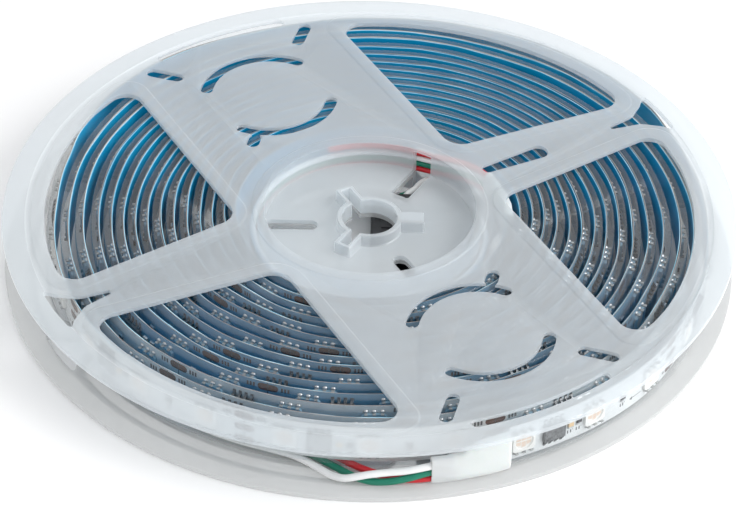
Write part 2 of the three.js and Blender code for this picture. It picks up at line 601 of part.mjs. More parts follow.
add('inner_lead_power', wire([...innerRoute(Z_IN.power), polar(28.75, 66, Z_IN.power), polar(28.72, 76, Z_IN.power),
  polar(28.72, 88, Z_IN.power), polar(28.72, 100, Z_IN.power), polar(28.72, 112, Z_IN.power)], INNER_D), MATERIAL.red);
add('inner_lead_white', wire(innerLead(Z_IN.white, [[11.2, 20.2, 5.0], [9.3, 18.6, 4.5], [8.6, 17.45, 4.2]]), INNER_D), MATERIAL.white);
add('inner_lead_green', wire(innerLead(Z_IN.green, [[10.4, 20.5, 3.6], [7.4, 19.0, 3.4], [6.0, 17.45, 3.2]]), INNER_D), MATERIAL.green);
add('inner_lead_red', wire(innerLead(Z_IN.red, [[10.2, 20.9, 2.0], [5.9, 19.7, 2.0], [3.4, 17.45, 2.2]]), INNER_D), MATERIAL.red);

// connector in the lower well: a housing open at its front, with three pins
{
  const x0 = 0.3; const x1 = 11.1; const y0 = -8.0; const y1 = 17.0; const z0 = 0.3; const z1 = 5.8;
  const outline = rounded([[x0, z0, 1.0], [x1, z0, 1.0], [x1, z1, 1.0], [x0, z1, 1.0]], 2);
  const g = new THREE.ExtrudeGeometry(new THREE.Shape(outline.map((p) => new THREE.Vector2(p[0], p[1]))),
    { depth: y1 - y0, bevelEnabled: false, curveSegments: 1 });
  g.rotateX(Math.PI / 2);
  g.translate(0, y1, 0);
  let h = solid(g);
  h = h.subtract(solid(boxAt(x0 + 1.1, x1 - 1.1, y0 - 1, y0 + 12, z0 + 1.0, z1 - 1.0)));
  h = h.add(solid(boxAt(x0 + 2.6, x1 - 2.6, 3.0, 15.0, z1 - 0.4, z1 + 0.35)));   // latch rib
  h = h.subtract(solid(boxAt(x0 + 2.0, x1 - 2.0, 14.4, 15.6, z1 - 0.7, z1 + 1)));
  add('connector_housing', geometryOf(h), MATERIAL.black);
  [3.1, 5.7, 8.3].forEach((x, i) => {
    add(`connector_pin_${i + 1}`, boxAt(x - 0.35, x + 0.35, y0 + 2.5, y0 + 11.7, 2.75, 3.45), MATERIAL.metal);
  });
}

export default object;
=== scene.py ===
# Looks of the LED strip on its reel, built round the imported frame. Metres, +Z up.
import math

import bmesh
import bpy
import numpy as np
from mathutils import Matrix, Vector


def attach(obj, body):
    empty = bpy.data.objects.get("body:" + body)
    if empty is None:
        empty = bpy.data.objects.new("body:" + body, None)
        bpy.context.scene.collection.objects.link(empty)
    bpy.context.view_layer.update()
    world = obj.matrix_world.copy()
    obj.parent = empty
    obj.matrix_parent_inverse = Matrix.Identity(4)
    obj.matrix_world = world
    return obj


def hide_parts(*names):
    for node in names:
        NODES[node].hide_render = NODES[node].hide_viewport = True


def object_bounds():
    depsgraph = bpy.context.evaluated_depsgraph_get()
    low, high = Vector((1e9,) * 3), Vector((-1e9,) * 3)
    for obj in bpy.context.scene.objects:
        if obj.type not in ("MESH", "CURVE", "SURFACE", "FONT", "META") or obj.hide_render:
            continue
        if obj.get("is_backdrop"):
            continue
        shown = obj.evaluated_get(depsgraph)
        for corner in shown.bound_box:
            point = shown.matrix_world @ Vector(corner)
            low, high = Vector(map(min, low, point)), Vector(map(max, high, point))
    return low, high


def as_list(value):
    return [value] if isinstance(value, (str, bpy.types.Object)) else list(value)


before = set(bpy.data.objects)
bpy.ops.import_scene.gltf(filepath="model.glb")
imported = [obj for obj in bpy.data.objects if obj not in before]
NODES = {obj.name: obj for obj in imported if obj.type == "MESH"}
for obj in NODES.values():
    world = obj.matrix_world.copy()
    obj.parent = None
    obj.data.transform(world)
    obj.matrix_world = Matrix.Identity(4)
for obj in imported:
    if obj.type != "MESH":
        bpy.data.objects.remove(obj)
CAD_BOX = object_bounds()
# shapes are drawn for a flange of radius 90 and brought to real size, as in the frame
SCALE = 0.86
MM = 0.001 * SCALE
RNG = np.random.default_rng(7)
scene = bpy.context.scene

# ------------------------------------------------------------------ camera
EL, DIST, ROLL = 0.6602, 8.3964 * 90.0, 0.0201
AIM = np.array([-0.0006, -0.2355, 0.0]) * 90.0 + np.array([0, 0, 15.0])
POS = np.array([0.0, -math.cos(EL), math.sin(EL)]) * DIST + np.array([0, 0, 15.0])
_f = (AIM - POS) / np.linalg.norm(AIM - POS)
_r = np.cross(_f, [0, 0, 1.0]); _r /= np.linalg.norm(_r)
_u = np.cross(_r, _f)
_r2 = math.cos(ROLL) * _r + math.sin(ROLL) * _u
_u2 = -math.sin(ROLL) * _r + math.cos(ROLL) * _u
cam_data = bpy.data.cameras.new("camera")
cam_data.sensor_width = 36.0
cam_data.lens = 3075.16 / 737.0 * 36.0
cam = bpy.data.objects.new("camera", cam_data)
scene.collection.objects.link(cam)
cam.matrix_world = Matrix((
    (_r2[0], _u2[0], -_f[0], POS[0] * MM),
    (_r2[1], _u2[1], -_f[1], POS[1] * MM),
    (_r2[2], _u2[2], -_f[2], POS[2] * MM),
    (0, 0, 0, 1)))
cam_data.clip_start, cam_data.clip_end = 0.02, 20.0
scene.camera = cam

# ------------------------------------------------------------------ small tools
def new_object(name, mesh, *mats):
    o = bpy.data.objects.new(name, mesh)
    scene.collection.objects.link(o)
    for m in mats:
        mesh.materials.append(m)
    return o


def build(name, verts, faces, mats, smooth=True, sharp=32, face_mat=None):
    me = bpy.data.meshes.new(name)
    me.from_pydata([tuple(v) for v in (np.asarray(verts, float) * MM).tolist()], [], faces)
    me.update()
    if smooth:
        me.polygons.foreach_set("use_smooth", [True] * len(me.polygons))
        me.set_sharp_from_angle(angle=math.radians(sharp))
    if face_mat is not None:
        me.polygons.foreach_set("material_index", face_mat)
    return new_object(name, me, *mats)


def boolean(target, tool, operation):
    m = target.modifiers.new("b", "BOOLEAN")
    m.operation = operation
    m.solver = "MANIFOLD"
    m.object = tool
    dg = bpy.context.evaluated_depsgraph_get()
    me = bpy.data.meshes.new_from_object(target.evaluated_get(dg))
    target.modifiers.clear()
    old = target.data
    target.data = me
    bpy.data.meshes.remove(old)
    bpy.data.objects.remove(tool)
    return target


def circle(r, n, cx=0.0, cy=0.0):
    a = np.arange(n) / n * 2 * math.pi
    return np.stack([cx + r * np.cos(a), cy + r * np.sin(a)], 1)


def turn(pts, deg):
    a = math.radians(deg)
    c, s = math.cos(a), math.sin(a)
    p = np.asarray(pts, float)
    return np.stack([p[:, 0] * c - p[:, 1] * s, p[:, 0] * s + p[:, 1] * c], 1)


def signed_area(p):
    q = np.roll(p, -1, 0)
    return float((p[:, 0] * q[:, 1] - q[:, 0] * p[:, 1]).sum() / 2)


def ccw(p):
    p = np.asarray(p, float)
    return p if signed_area(p) > 0 else p[::-1]


def grown(p, d):
    """Offset a counter-clockwise outline outwards by d."""
    a = p - np.roll(p, 1, 0)
    b = np.roll(p, -1, 0) - p
    a = a / np.maximum(np.linalg.norm(a, axis=1, keepdims=True), 1e-9)
    b = b / np.maximum(np.linalg.norm(b, axis=1, keepdims=True), 1e-9)
    na = np.stack([a[:, 1], -a[:, 0]], 1)
    nb = np.stack([b[:, 1], -b[:, 0]], 1)
    n = na + nb
    l2 = (n * n).sum(1, keepdims=True)
    n = n * 2 / np.maximum(l2, 0.6)
    return p + n * d


def prism(name, outline, levels):
    """A closed solid lofted through (z, growth) levels of an outline, in millimetres."""
    p = ccw(outline)
    n = len(p)
    verts, faces = [], []
    for z, g in levels:
        q = grown(p, g) if g else p
        verts += [(x, y, z) for x, y in q]
    for k in range(len(levels) - 1):
        a, b = k * n, (k + 1) * n
        for i in range(n):
            j = (i + 1) % n
            faces.append((a + i, a + j, b + j, b + i))
    faces.append(tuple(range(n - 1, -1, -1)))
    top = (len(levels) - 1) * n
    faces.append(tuple(range(top, top + n)))
    me = bpy.data.meshes.new(name)
    me.from_pydata([(x * MM, y * MM, z * MM) for x, y, z in verts], [], faces)
    me.update()
    return new_object(name, me)


def fuse(objs):
    """Join separate solids that don't touch into one tool."""
    bm = bmesh.new()
    for o in objs:
        bm.from_mesh(o.data)
    me = bpy.data.meshes.new("tool")
    bm.to_mesh(me)
    bm.free()
    for o in objs:
        old = o.data
        bpy.data.objects.remove(o)
        bpy.data.meshes.remove(old)
    return new_object("tool", me)


def rounded(corners, steps=8):
    out = []
    n = len(corners)
    for i in range(n):
        x, y, r = corners[i]
        if not r:
            out.append((x, y))
            continue
        p, q = corners[i - 1], corners[(i + 1) % n]
        d1 = np.array([p[0] - x, p[1] - y]); l1 = np.linalg.norm(d1); d1 = d1 / l1
        d2 = np.array([q[0] - x, q[1] - y]); l2 = np.linalg.norm(d2); d2 = d2 / l2
        ang = math.acos(max(-1, min(1, float(d1 @ d2))))
        cut = min(r / math.tan(ang / 2), l1 * 0.49, l2 * 0.49)
        rr = cut * math.tan(ang / 2)
        bis = d1 + d2
        c = np.array([x, y]) + bis / np.linalg.norm(bis) * rr / math.sin(ang / 2)
        s, e = np.array([x, y]) + d1 * cut, np.array([x, y]) + d2 * cut
        a0 = math.atan2(s[1] - c[1], s[0] - c[0])
        a1 = math.atan2(e[1] - c[1], e[0] - c[0])
        while a1 - a0 > math.pi: a1 -= 2 * math.pi
        while a1 - a0 < -math.pi: a1 += 2 * math.pi
        for k in range(steps + 1):
            a = a0 + (a1 - a0) * k / steps
            out.append((c[0] + rr * math.cos(a), c[1] + rr * math.sin(a)))
    return np.array(out)


def capsule(x0, y0, x1, y1, w, n=10):
    a = math.atan2(y1 - y0, x1 - x0)
    out = []
    for k in range(n + 1):
        b = a - math.pi / 2 + math.pi * k / n
        out.append((x1 + w / 2 * math.cos(b), y1 + w / 2 * math.sin(b)))
    for k in range(n + 1):
        b = a + math.pi / 2 + math.pi * k / n
        out.append((x0 + w / 2 * math.cos(b), y0 + w / 2 * math.sin(b)))
    return np.array(out)


def arc_slot(cx, cy, r, w, a0, a1, n=24, m=6):
    out = []
    d = math.pi / 180
    for k in range(n + 1):
        a = (a0 + (a1 - a0) * k / n) * d
        out.append((cx + (r + w / 2) * math.cos(a), cy + (r + w / 2) * math.sin(a)))
    for k in range(1, m):
        b = a1 * d + math.pi * k / m
        out.append((cx + r * math.cos(a1 * d) + w / 2 * math.cos(b), cy + r * math.sin(a1 * d) + w / 2 * math.sin(b)))
    for k in range(n, -1, -1):
        a = (a0 + (a1 - a0) * k / n) * d
        out.append((cx + (r - w / 2) * math.cos(a), cy + (r - w / 2) * math.sin(a)))
    for k in range(1, m):
        b = a0 * d + math.pi + math.pi * k / m
        out.append((cx + r * math.cos(a0 * d) + w / 2 * math.cos(b), cy + r * math.sin(a0 * d) + w / 2 * math.sin(b)))
    return np.array(out)


def box_outline(x0, x1, y0, y1, r=0.0, deg=0.0):
    if r:
        p = rounded([(x0, y0, r), (x1, y0, r), (x1, y1, r), (x0, y1, r)], 5)
    else:
        p = np.array([(x0, y0), (x1, y0), (x1, y1), (x0, y1)], float)
    return turn(p, deg)


# ------------------------------------------------------------------ materials
def principled(name, color=None, rough=0.5, **kw):
    m = bpy.data.materials.new(name)
    m.use_nodes = True
    nt = m.node_tree
    b = nt.nodes["Principled BSDF"]
    if color is not None:
        b.inputs["Base Color"].default_value = (*color, 1)
    b.inputs["Roughness"].default_value = rough
    for k, v in kw.items():
        b.inputs[k.replace("_", " ")].default_value = v
    return m, nt, b


def tex_noise(nt, scale, detail=3.0, rough=0.5, dist=0.0):
    c = nt.nodes.new("ShaderNodeTexCoord")
    n = nt.nodes.new("ShaderNodeTexNoise")
    n.inputs["Scale"].default_value = scale
    n.inputs["Detail"].default_value = detail
    n.inputs["Roughness"].default_value = rough
    n.inputs["Distortion"].default_value = dist
    nt.links.new(c.outputs["Object"], n.inputs["Vector"])
    return n


def ramp(nt, src, stops):
    r = nt.nodes.new("ShaderNodeValToRGB")
    el = r.color_ramp.elements
    while len(el) > 1:
        el.remove(el[-1])
    el[0].position, el[0].color = stops[0][0], (*stops[0][1], 1)
    for p, c in stops[1:]:
        e = el.new(p)
        e.color = (*c, 1)
    nt.links.new(src, r.inputs["Fac"])
    return r


def bump(nt, height, strength, dist, into):
    b = nt.nodes.new("ShaderNodeBump")
    b.inputs["Strength"].default_value = strength
    b.inputs["Distance"].default_value = dist
    nt.links.new(height, b.inputs["Height"])
    nt.links.new(b.outputs["Normal"], into.inputs["Normal"])
    return b


def varied(name, c1, c2, scale, rough, rough2=None, bump_strength=0.0, bump_scale=None, bump_dist=0.0001, **kw):
    """A finish whose colour and roughness vary with noise, with a fine bump."""
    m, nt, b = principled(name, c1, rough, **kw)
    n = tex_noise(nt, scale, 4, 0.55)
    r = ramp(nt, n.outputs["Fac"], [(0.3, c1), (0.7, c2)])
    nt.links.new(r.outputs["Color"], b.inputs["Base Color"])
    if rough2 is not None:
        mr = nt.nodes.new("ShaderNodeMapRange")
        mr.inputs["To Min"].default_value = rough
        mr.inputs["To Max"].default_value = rough2
        nt.links.new(n.outputs["Fac"], mr.inputs["Value"])
        nt.links.new(mr.outputs["Result"], b.inputs["Roughness"])
    if bump_strength:
        nb = tex_noise(nt, bump_scale or scale * 6, 3, 0.6)
        bump(nt, nb.outputs["Fac"], bump_strength, bump_dist, b)
    return m


def see_through(name, c1, c2, opacity, edge, rough, ior, scale, see, bump_strength, bump_scale, bump_dist=0.0001, diffuse_trans=0.0,
                rim=None):
    """A clear or milky plastic: what shows through, a scattering share that grows towards
    grazing angles, and a glossy skin by Fresnel."""
    m = bpy.data.materials.new(name)
    m.use_nodes = True
    nt = m.node_tree
    nt.nodes.remove(nt.nodes["Principled BSDF"])
    out = nt.nodes["Material Output"]
    b = nt.nodes.new("ShaderNodeBsdfPrincipled")
    b.inputs["Base Color"].default_value = (*c1, 1)
    b.inputs["Roughness"].default_value = rough
    b.inputs["IOR"].default_value = ior
    n = tex_noise(nt, scale, 4, 0.55)
    r = ramp(nt, n.outputs["Fac"], [(0.3, c1), (0.7, c2)])
    nt.links.new(r.outputs["Color"], b.inputs["Base Color"])
    nb = tex_noise(nt, bump_scale, 3, 0.6)
    bm_ = bump(nt, nb.outputs["Fac"], bump_strength, bump_dist, b)
    body = b.outputs["BSDF"]
    if diffuse_trans:
        tl = nt.nodes.new("ShaderNodeBsdfTranslucent")
        nt.links.new(r.outputs["Color"], tl.inputs["Color"])
        m0 = nt.nodes.new("ShaderNodeMixShader")
        m0.inputs["Fac"].default_value = diffuse_trans
        nt.links.new(body, m0.inputs[1])
        nt.links.new(tl.outputs["BSDF"], m0.inputs[2])
        body = m0.outputs["Shader"]
    tr = nt.nodes.new("ShaderNodeBsdfTransparent")
    tr.inputs["Color"].default_value = (*see, 1)
    lw = nt.nodes.new("ShaderNodeLayerWeight")
    lw.inputs["Blend"].default_value = 0.35
    mr = nt.nodes.new("ShaderNodeMapRange")
    mr.inputs["To Min"].default_value = opacity
    mr.inputs["To Max"].default_value = min(1.0, opacity + edge)
    nt.links.new(lw.outputs["Facing"], mr.inputs["Value"])
    share = mr.outputs["Result"]
    if rim:
        r0, r1, more = rim
        co = nt.nodes.new("ShaderNodeTexCoord")
        fl_ = nt.nodes.new("ShaderNodeVectorMath")
        fl_.operation = "MULTIPLY"
        fl_.inputs[1].default_value = (1, 1, 0)
        nt.links.new(co.outputs["Object"], fl_.inputs[0])
        ln = nt.nodes.new("ShaderNodeVectorMath")
        ln.operation = "LENGTH"
        nt.links.new(fl_.outputs["Vector"], ln.inputs[0])
        rm = nt.nodes.new("ShaderNodeMapRange")
        rm.inputs["From Min"].default_value = r0
        rm.inputs["From Max"].default_value = r1
        rm.inputs["To Min"].default_value = 0.0
        rm.inputs["To Max"].default_value = more
        nt.links.new(ln.outputs["Value"], rm.inputs["Value"])
        ad = nt.nodes.new("ShaderNodeMath")
        ad.operation = "ADD"
        ad.use_clamp = True
        nt.links.new(share, ad.inputs[0])
        nt.links.new(rm.outputs["Result"], ad.inputs[1])
        share = ad.outputs["Value"]
    mx = nt.nodes.new("ShaderNodeMixShader")
    nt.links.new(share, mx.inputs["Fac"])
    nt.links.new(tr.outputs["BSDF"], mx.inputs[1])
    nt.links.new(body, mx.inputs[2])
    gl = nt.nodes.new("ShaderNodeBsdfGlossy")
    gl.inputs["Color"].default_value = (1, 1, 1, 1)
    gl.inputs["Roughness"].default_value = rough
    nt.links.new(bm_.outputs["Normal"], gl.inputs["Normal"])
    # the same on both faces of the skin: what shows through isn't bent, so it must not be trapped inside
    f0 = ((ior - 1) / (ior + 1)) ** 2
    lf = nt.nodes.new("ShaderNodeLayerWeight")
    lf.inputs["Blend"].default_value = 0.5
    nt.links.new(bm_.outputs["Normal"], lf.inputs["Normal"])
    pw = nt.nodes.new("ShaderNodeMath")
    pw.operation = "POWER"
    pw.inputs[1].default_value = 5.0
    nt.links.new(lf.outputs["Facing"], pw.inputs[0])
    ma = nt.nodes.new("ShaderNodeMath")
    ma.operation = "MULTIPLY_ADD"
    ma.inputs[1].default_value = 1.0 - f0
    ma.inputs[2].default_value = f0
    nt.links.new(pw.outputs["Value"], ma.inputs[0])
    mg = nt.nodes.new("ShaderNodeMixShader")
    nt.links.new(ma.outputs["Value"], mg.inputs["Fac"])
    nt.links.new(mx.outputs["Shader"], mg.inputs[1])
    nt.links.new(gl.outputs["BSDF"], mg.inputs[2])
    nt.links.new(mg.outputs["Shader"], out.inputs["Surface"])
    return m


M_REEL = see_through("reel_plastic", (0.78, 0.825, 0.855), (0.835, 0.865, 0.885), 0.33, 0.20, 0.30, 1.42, 26,
                     (0.96, 0.98, 0.992), 0.10, 240, 0.00012, diffuse_trans=0.24, rim=(0.0712, 0.0735, 0.04))
# painted shade: the lower half is the same plastic as the upper, given a darker, greyer copy for the shade the upper
# flange casts on it
M_REEL_LOW_PAINTED_SHADE = see_through("reel_plastic_lower_painted_shade", (0.755, 0.762, 0.76), (0.80, 0.806, 0.803), 0.30, 0.20, 0.30, 1.42, 26,
                         (0.975, 0.98, 0.98), 0.10, 240, 0.00012, diffuse_trans=0.24, rim=(0.0712, 0.0735, 0.06))
M_GEL = see_through("clear_jacket", (0.80, 0.84, 0.86), (0.88, 0.90, 0.91), 0.008, 0.045, 0.14, 1.31, 60,
                    (0.955, 0.968, 0.975), 0.2, 150, 0.0003)
M_GEL_TOP = see_through("clear_jacket_top", (0.46, 0.44, 0.42), (0.60, 0.58, 0.56), 0.055, 0.045, 0.15, 1.36, 60,
                        (0.95, 0.955, 0.955), 0.08, 150, 0.0002)
M_PCB = varied("circuit_white", (0.70, 0.705, 0.70), (0.77, 0.77, 0.765), 140, 0.42, 0.55, 0.1, 900)
# painted shade and blue bounce light: a darker blue copy of the white circuit
M_PCB_PAINTED_BLUE_BOUNCE = varied("circuit_painted_shade_blue_bounce", (0.095, 0.275, 0.42), (0.195, 0.375, 0.515), 140, 0.42, 0.55, 0.1, 900)
M_PCB_EDGE = varied("circuit_edge", (0.21, 0.185, 0.17), (0.33, 0.29, 0.27), 300, 0.6, 0.7, 0.2, 900)
M_LINER = varied("blue_liner", (0.0, 0.28, 0.56), (0.0, 0.37, 0.67), 35, 0.30, 0.42, 0.12, 160)
M_LINER_EDGE = varied("liner_edge", (0.28, 0.64, 0.81), (0.62, 0.86, 0.95), 120, 0.35, 0.5, 0.1, 400)
# painted shade and blue bounce light: a lighter, half-blue copy of the white circuit
M_PCB_PAINTED_HALF_BOUNCE = varied("circuit_painted_half_shade_bounce", (0.52, 0.58, 0.61), (0.62, 0.67, 0.69), 140, 0.42, 0.55, 0.1, 900)
M_LEDBODY = varied("led_body", (0.72, 0.72, 0.70), (0.78, 0.775, 0.75), 400, 0.45, 0.55, 0.1, 2500)
# painted shade and blue bounce light: a darker blue copy of the white package body
M_LEDBODY_PAINTED_BLUE_BOUNCE = varied("led_body_inner", (0.22, 0.37, 0.47), (0.31, 0.45, 0.54), 400, 0.45, 0.55, 0.1, 2500)
M_LEDPAD = varied("led_leadframe", (0.64, 0.50, 0.41), (0.70, 0.58, 0.49), 900, 0.35, 0.5, 0.2, 3000)
M_EPOXY = varied("led_window", (0.74, 0.715, 0.68), (0.80, 0.78, 0.74), 700, 0.2, 0.3, 0.05, 2000)
M_SOLDER = varied("solder", (0.46, 0.47, 0.48), (0.70, 0.70, 0.70), 1500, 0.26, 0.42, 0.3, 2600, Metallic=1.0)
M_PIN = varied("led_pins", (0.20, 0.21, 0.215), (0.50, 0.51, 0.50), 1200, 0.42, 0.58, 0.2, 2600, Metallic=0.2)
# painted shade: the legs' metal is made nearly black, far darker than tin, to stand in for the dark surroundings they
# reflect
M_LEG_PAINTED_DARK = varied("chip_legs_painted_dark_reflection", (0.06, 0.062, 0.065), (0.26, 0.265, 0.27), 1400, 0.22, 0.40, 0.3, 2600, Metallic=1.0)
M_COPPER = varied("copper_pad", (0.024, 0.011, 0.008), (0.15, 0.046, 0.024), 420, 0.42, 0.6, 0.15, 1500)
M_CHIP = varied("chip_body", (0.07, 0.072, 0.076), (0.21, 0.215, 0.22), 1500, 0.32, 0.55, 0.6, 2600)
M_CER = varied("capacitor_body", (0.58, 0.40, 0.22), (0.70, 0.52, 0.32), 900, 0.4, 0.5, 0.1, 2500)
M_RES = varied("resistor_body", (0.02, 0.02, 0.022), (0.05, 0.05, 0.055), 900, 0.3, 0.45, 0.1, 2500)
M_INK = varied("ink", (0.045, 0.045, 0.05), (0.08, 0.08, 0.085), 800, 0.5, 0.6, 0.1, 2500)
M_SLEEVE = varied("sleeve_white", (0.63, 0.63, 0.615), (0.69, 0.685, 0.67), 90, 0.5, 0.62, 0.25, 500, Subsurface_Weight=0.15)
M_W = varied("wire_white", (0.80, 0.81, 0.81), (0.88, 0.88, 0.87), 160, 0.32, 0.45, 0.1, 700)
M_G = varied("wire_green", (0.0, 0.16, 0.10), (0.004, 0.22, 0.13), 160, 0.3, 0.42, 0.1, 700)
M_RD = varied("wire_red", (0.56, 0.012, 0.022), (0.68, 0.02, 0.03), 160, 0.3, 0.42, 0.1, 700)
M_BLK = varied("connector_black", (0.012, 0.012, 0.014), (0.03, 0.03, 0.033), 300, 0.38, 0.5, 0.2, 1400)
M_TIN = varied("tinned", (0.68, 0.66, 0.60), (0.82, 0.80, 0.75), 900, 0.25, 0.4, 0.2, 2000, Metallic=1.0)

# ------------------------------------------------------------------ reel
REEL_R, REEL_H = 90.0, 15.0
PLATE_T, BEAD_T, BEAD_W, RIM_W = 1.15, 0.25, 3.4, 5.6
PATTERN = 29.7
WELL_R, HUB_WALL, FLOOR_T, HALF_GAP = 26.0, 1.6, 1.05, 0.15
HOLE_R, COLLAR_R, COLLAR_H = 6.75, 8.1, 3.0
KEY_REACH, KEY_W, KEY_WALL = 13.4, 4.5, 1.05
R = REEL_R


def window_outline(g, steps=10):
    u0, rr = 0.337 * R - g, 0.885 * R + g
    def spoke(u):
        return (0.127 + (u / R - 0.337) * (0.079 - 0.127) / (0.882 - 0.337)) * R - g
    u1 = 0.88 * R
    for _ in range(20):
        u1 = math.sqrt(rr * rr - spoke(u1) ** 2)
    a0, a1 = math.atan2(spoke(u1), u1), math.acos(u0 / rr)
    n = 6
    corners = [(u0, spoke(u0), 5.0 + g)]
    for k in range(n + 1):
        a = a0 + (a1 - a0) * k / n
        corners.append((rr * math.cos(a), rr * math.sin(a), (4.6 + g) if k in (0, n) else 0))
    p = rounded(corners, steps)
    # put the arc's own points back on the circle
    out = []
    m = len(p)
    for i in range(m):
        q, w = p[i], p[(i + 1) % m]
        out.append(q)
        if abs(np.hypot(*q) - rr) < 0.9 and abs(np.hypot(*w) - rr) < 0.9 and np.hypot(*(w - q)) > 4:
            b0, b1 = math.atan2(q[1], q[0]), math.atan2(w[1], w[0])
            r0, r1 = np.hypot(*q), np.hypot(*w)
            for k in range(1, 8):
                b = b0 + (b1 - b0) * k / 8
                rk = r0 + (r1 - r0) * k / 8
                out.append((rk * math.cos(b), rk * math.sin(b)))
    return np.array([tuple(x) for x in out])


def small_openings():
    small = []
    for s in (1, -1):
        small.append(arc_slot(0, s * 0.595 * R, 0.18 * R, 0.035 * R, 35 if s > 0 else 215, 145 if s > 0 else 325))
        small.append(arc_slot(0, s * 0.595 * R, 0.18 * R, 0.035 * R, 218 if s > 0 else 38, 322 if s > 0 else 142))
        small.append(arc_slot(0, 0, 0.9185 * R, 0.028 * R, 78 if s > 0 else 258, 102 if s > 0 else 282))
        for t in (1, -1):
            small.append(capsule(t * 0.248 * R, s * 0.843 * R, t * 0.197 * R, s * 0.790 * R, 0.036 * R))
    cuts = [rounded([(0.36 * R, 0.017 * R, 1.4), (0.36 * R, -0.017 * R, 1.4),
                     (0.565 * R, -0.03 * R, 2.4), (0.565 * R, 0.03 * R, 2.4)][::-1])]
    for s in (1, -1):
        cuts.append(rounded([
            (s * 0.780 * R, -0.006 * R, 0.5), (s * 0.865 * R, -0.022 * R, 5), (s * 0.915 * R, -0.062 * R, 5),
            (s * 0.936 * R, -0.094 * R, 1.2), (s * 0.943 * R, 0, 0), (s * 0.940 * R, 0.086 * R, 1.2),
            (s * 0.915 * R, 0.058 * R, 5), (s * 0.865 * R, 0.022 * R, 5), (s * 0.780 * R, 0.010 * R, 0.5)]))
    nubs = [capsule(-0.13 * R, 0.43 * R, -0.148 * R, 0.409 * R, 0.036 * R),
            capsule(0.13 * R, -0.43 * R, 0.148 * R, -0.409 * R, 0.036 * R)]
    return small + cuts, nubs


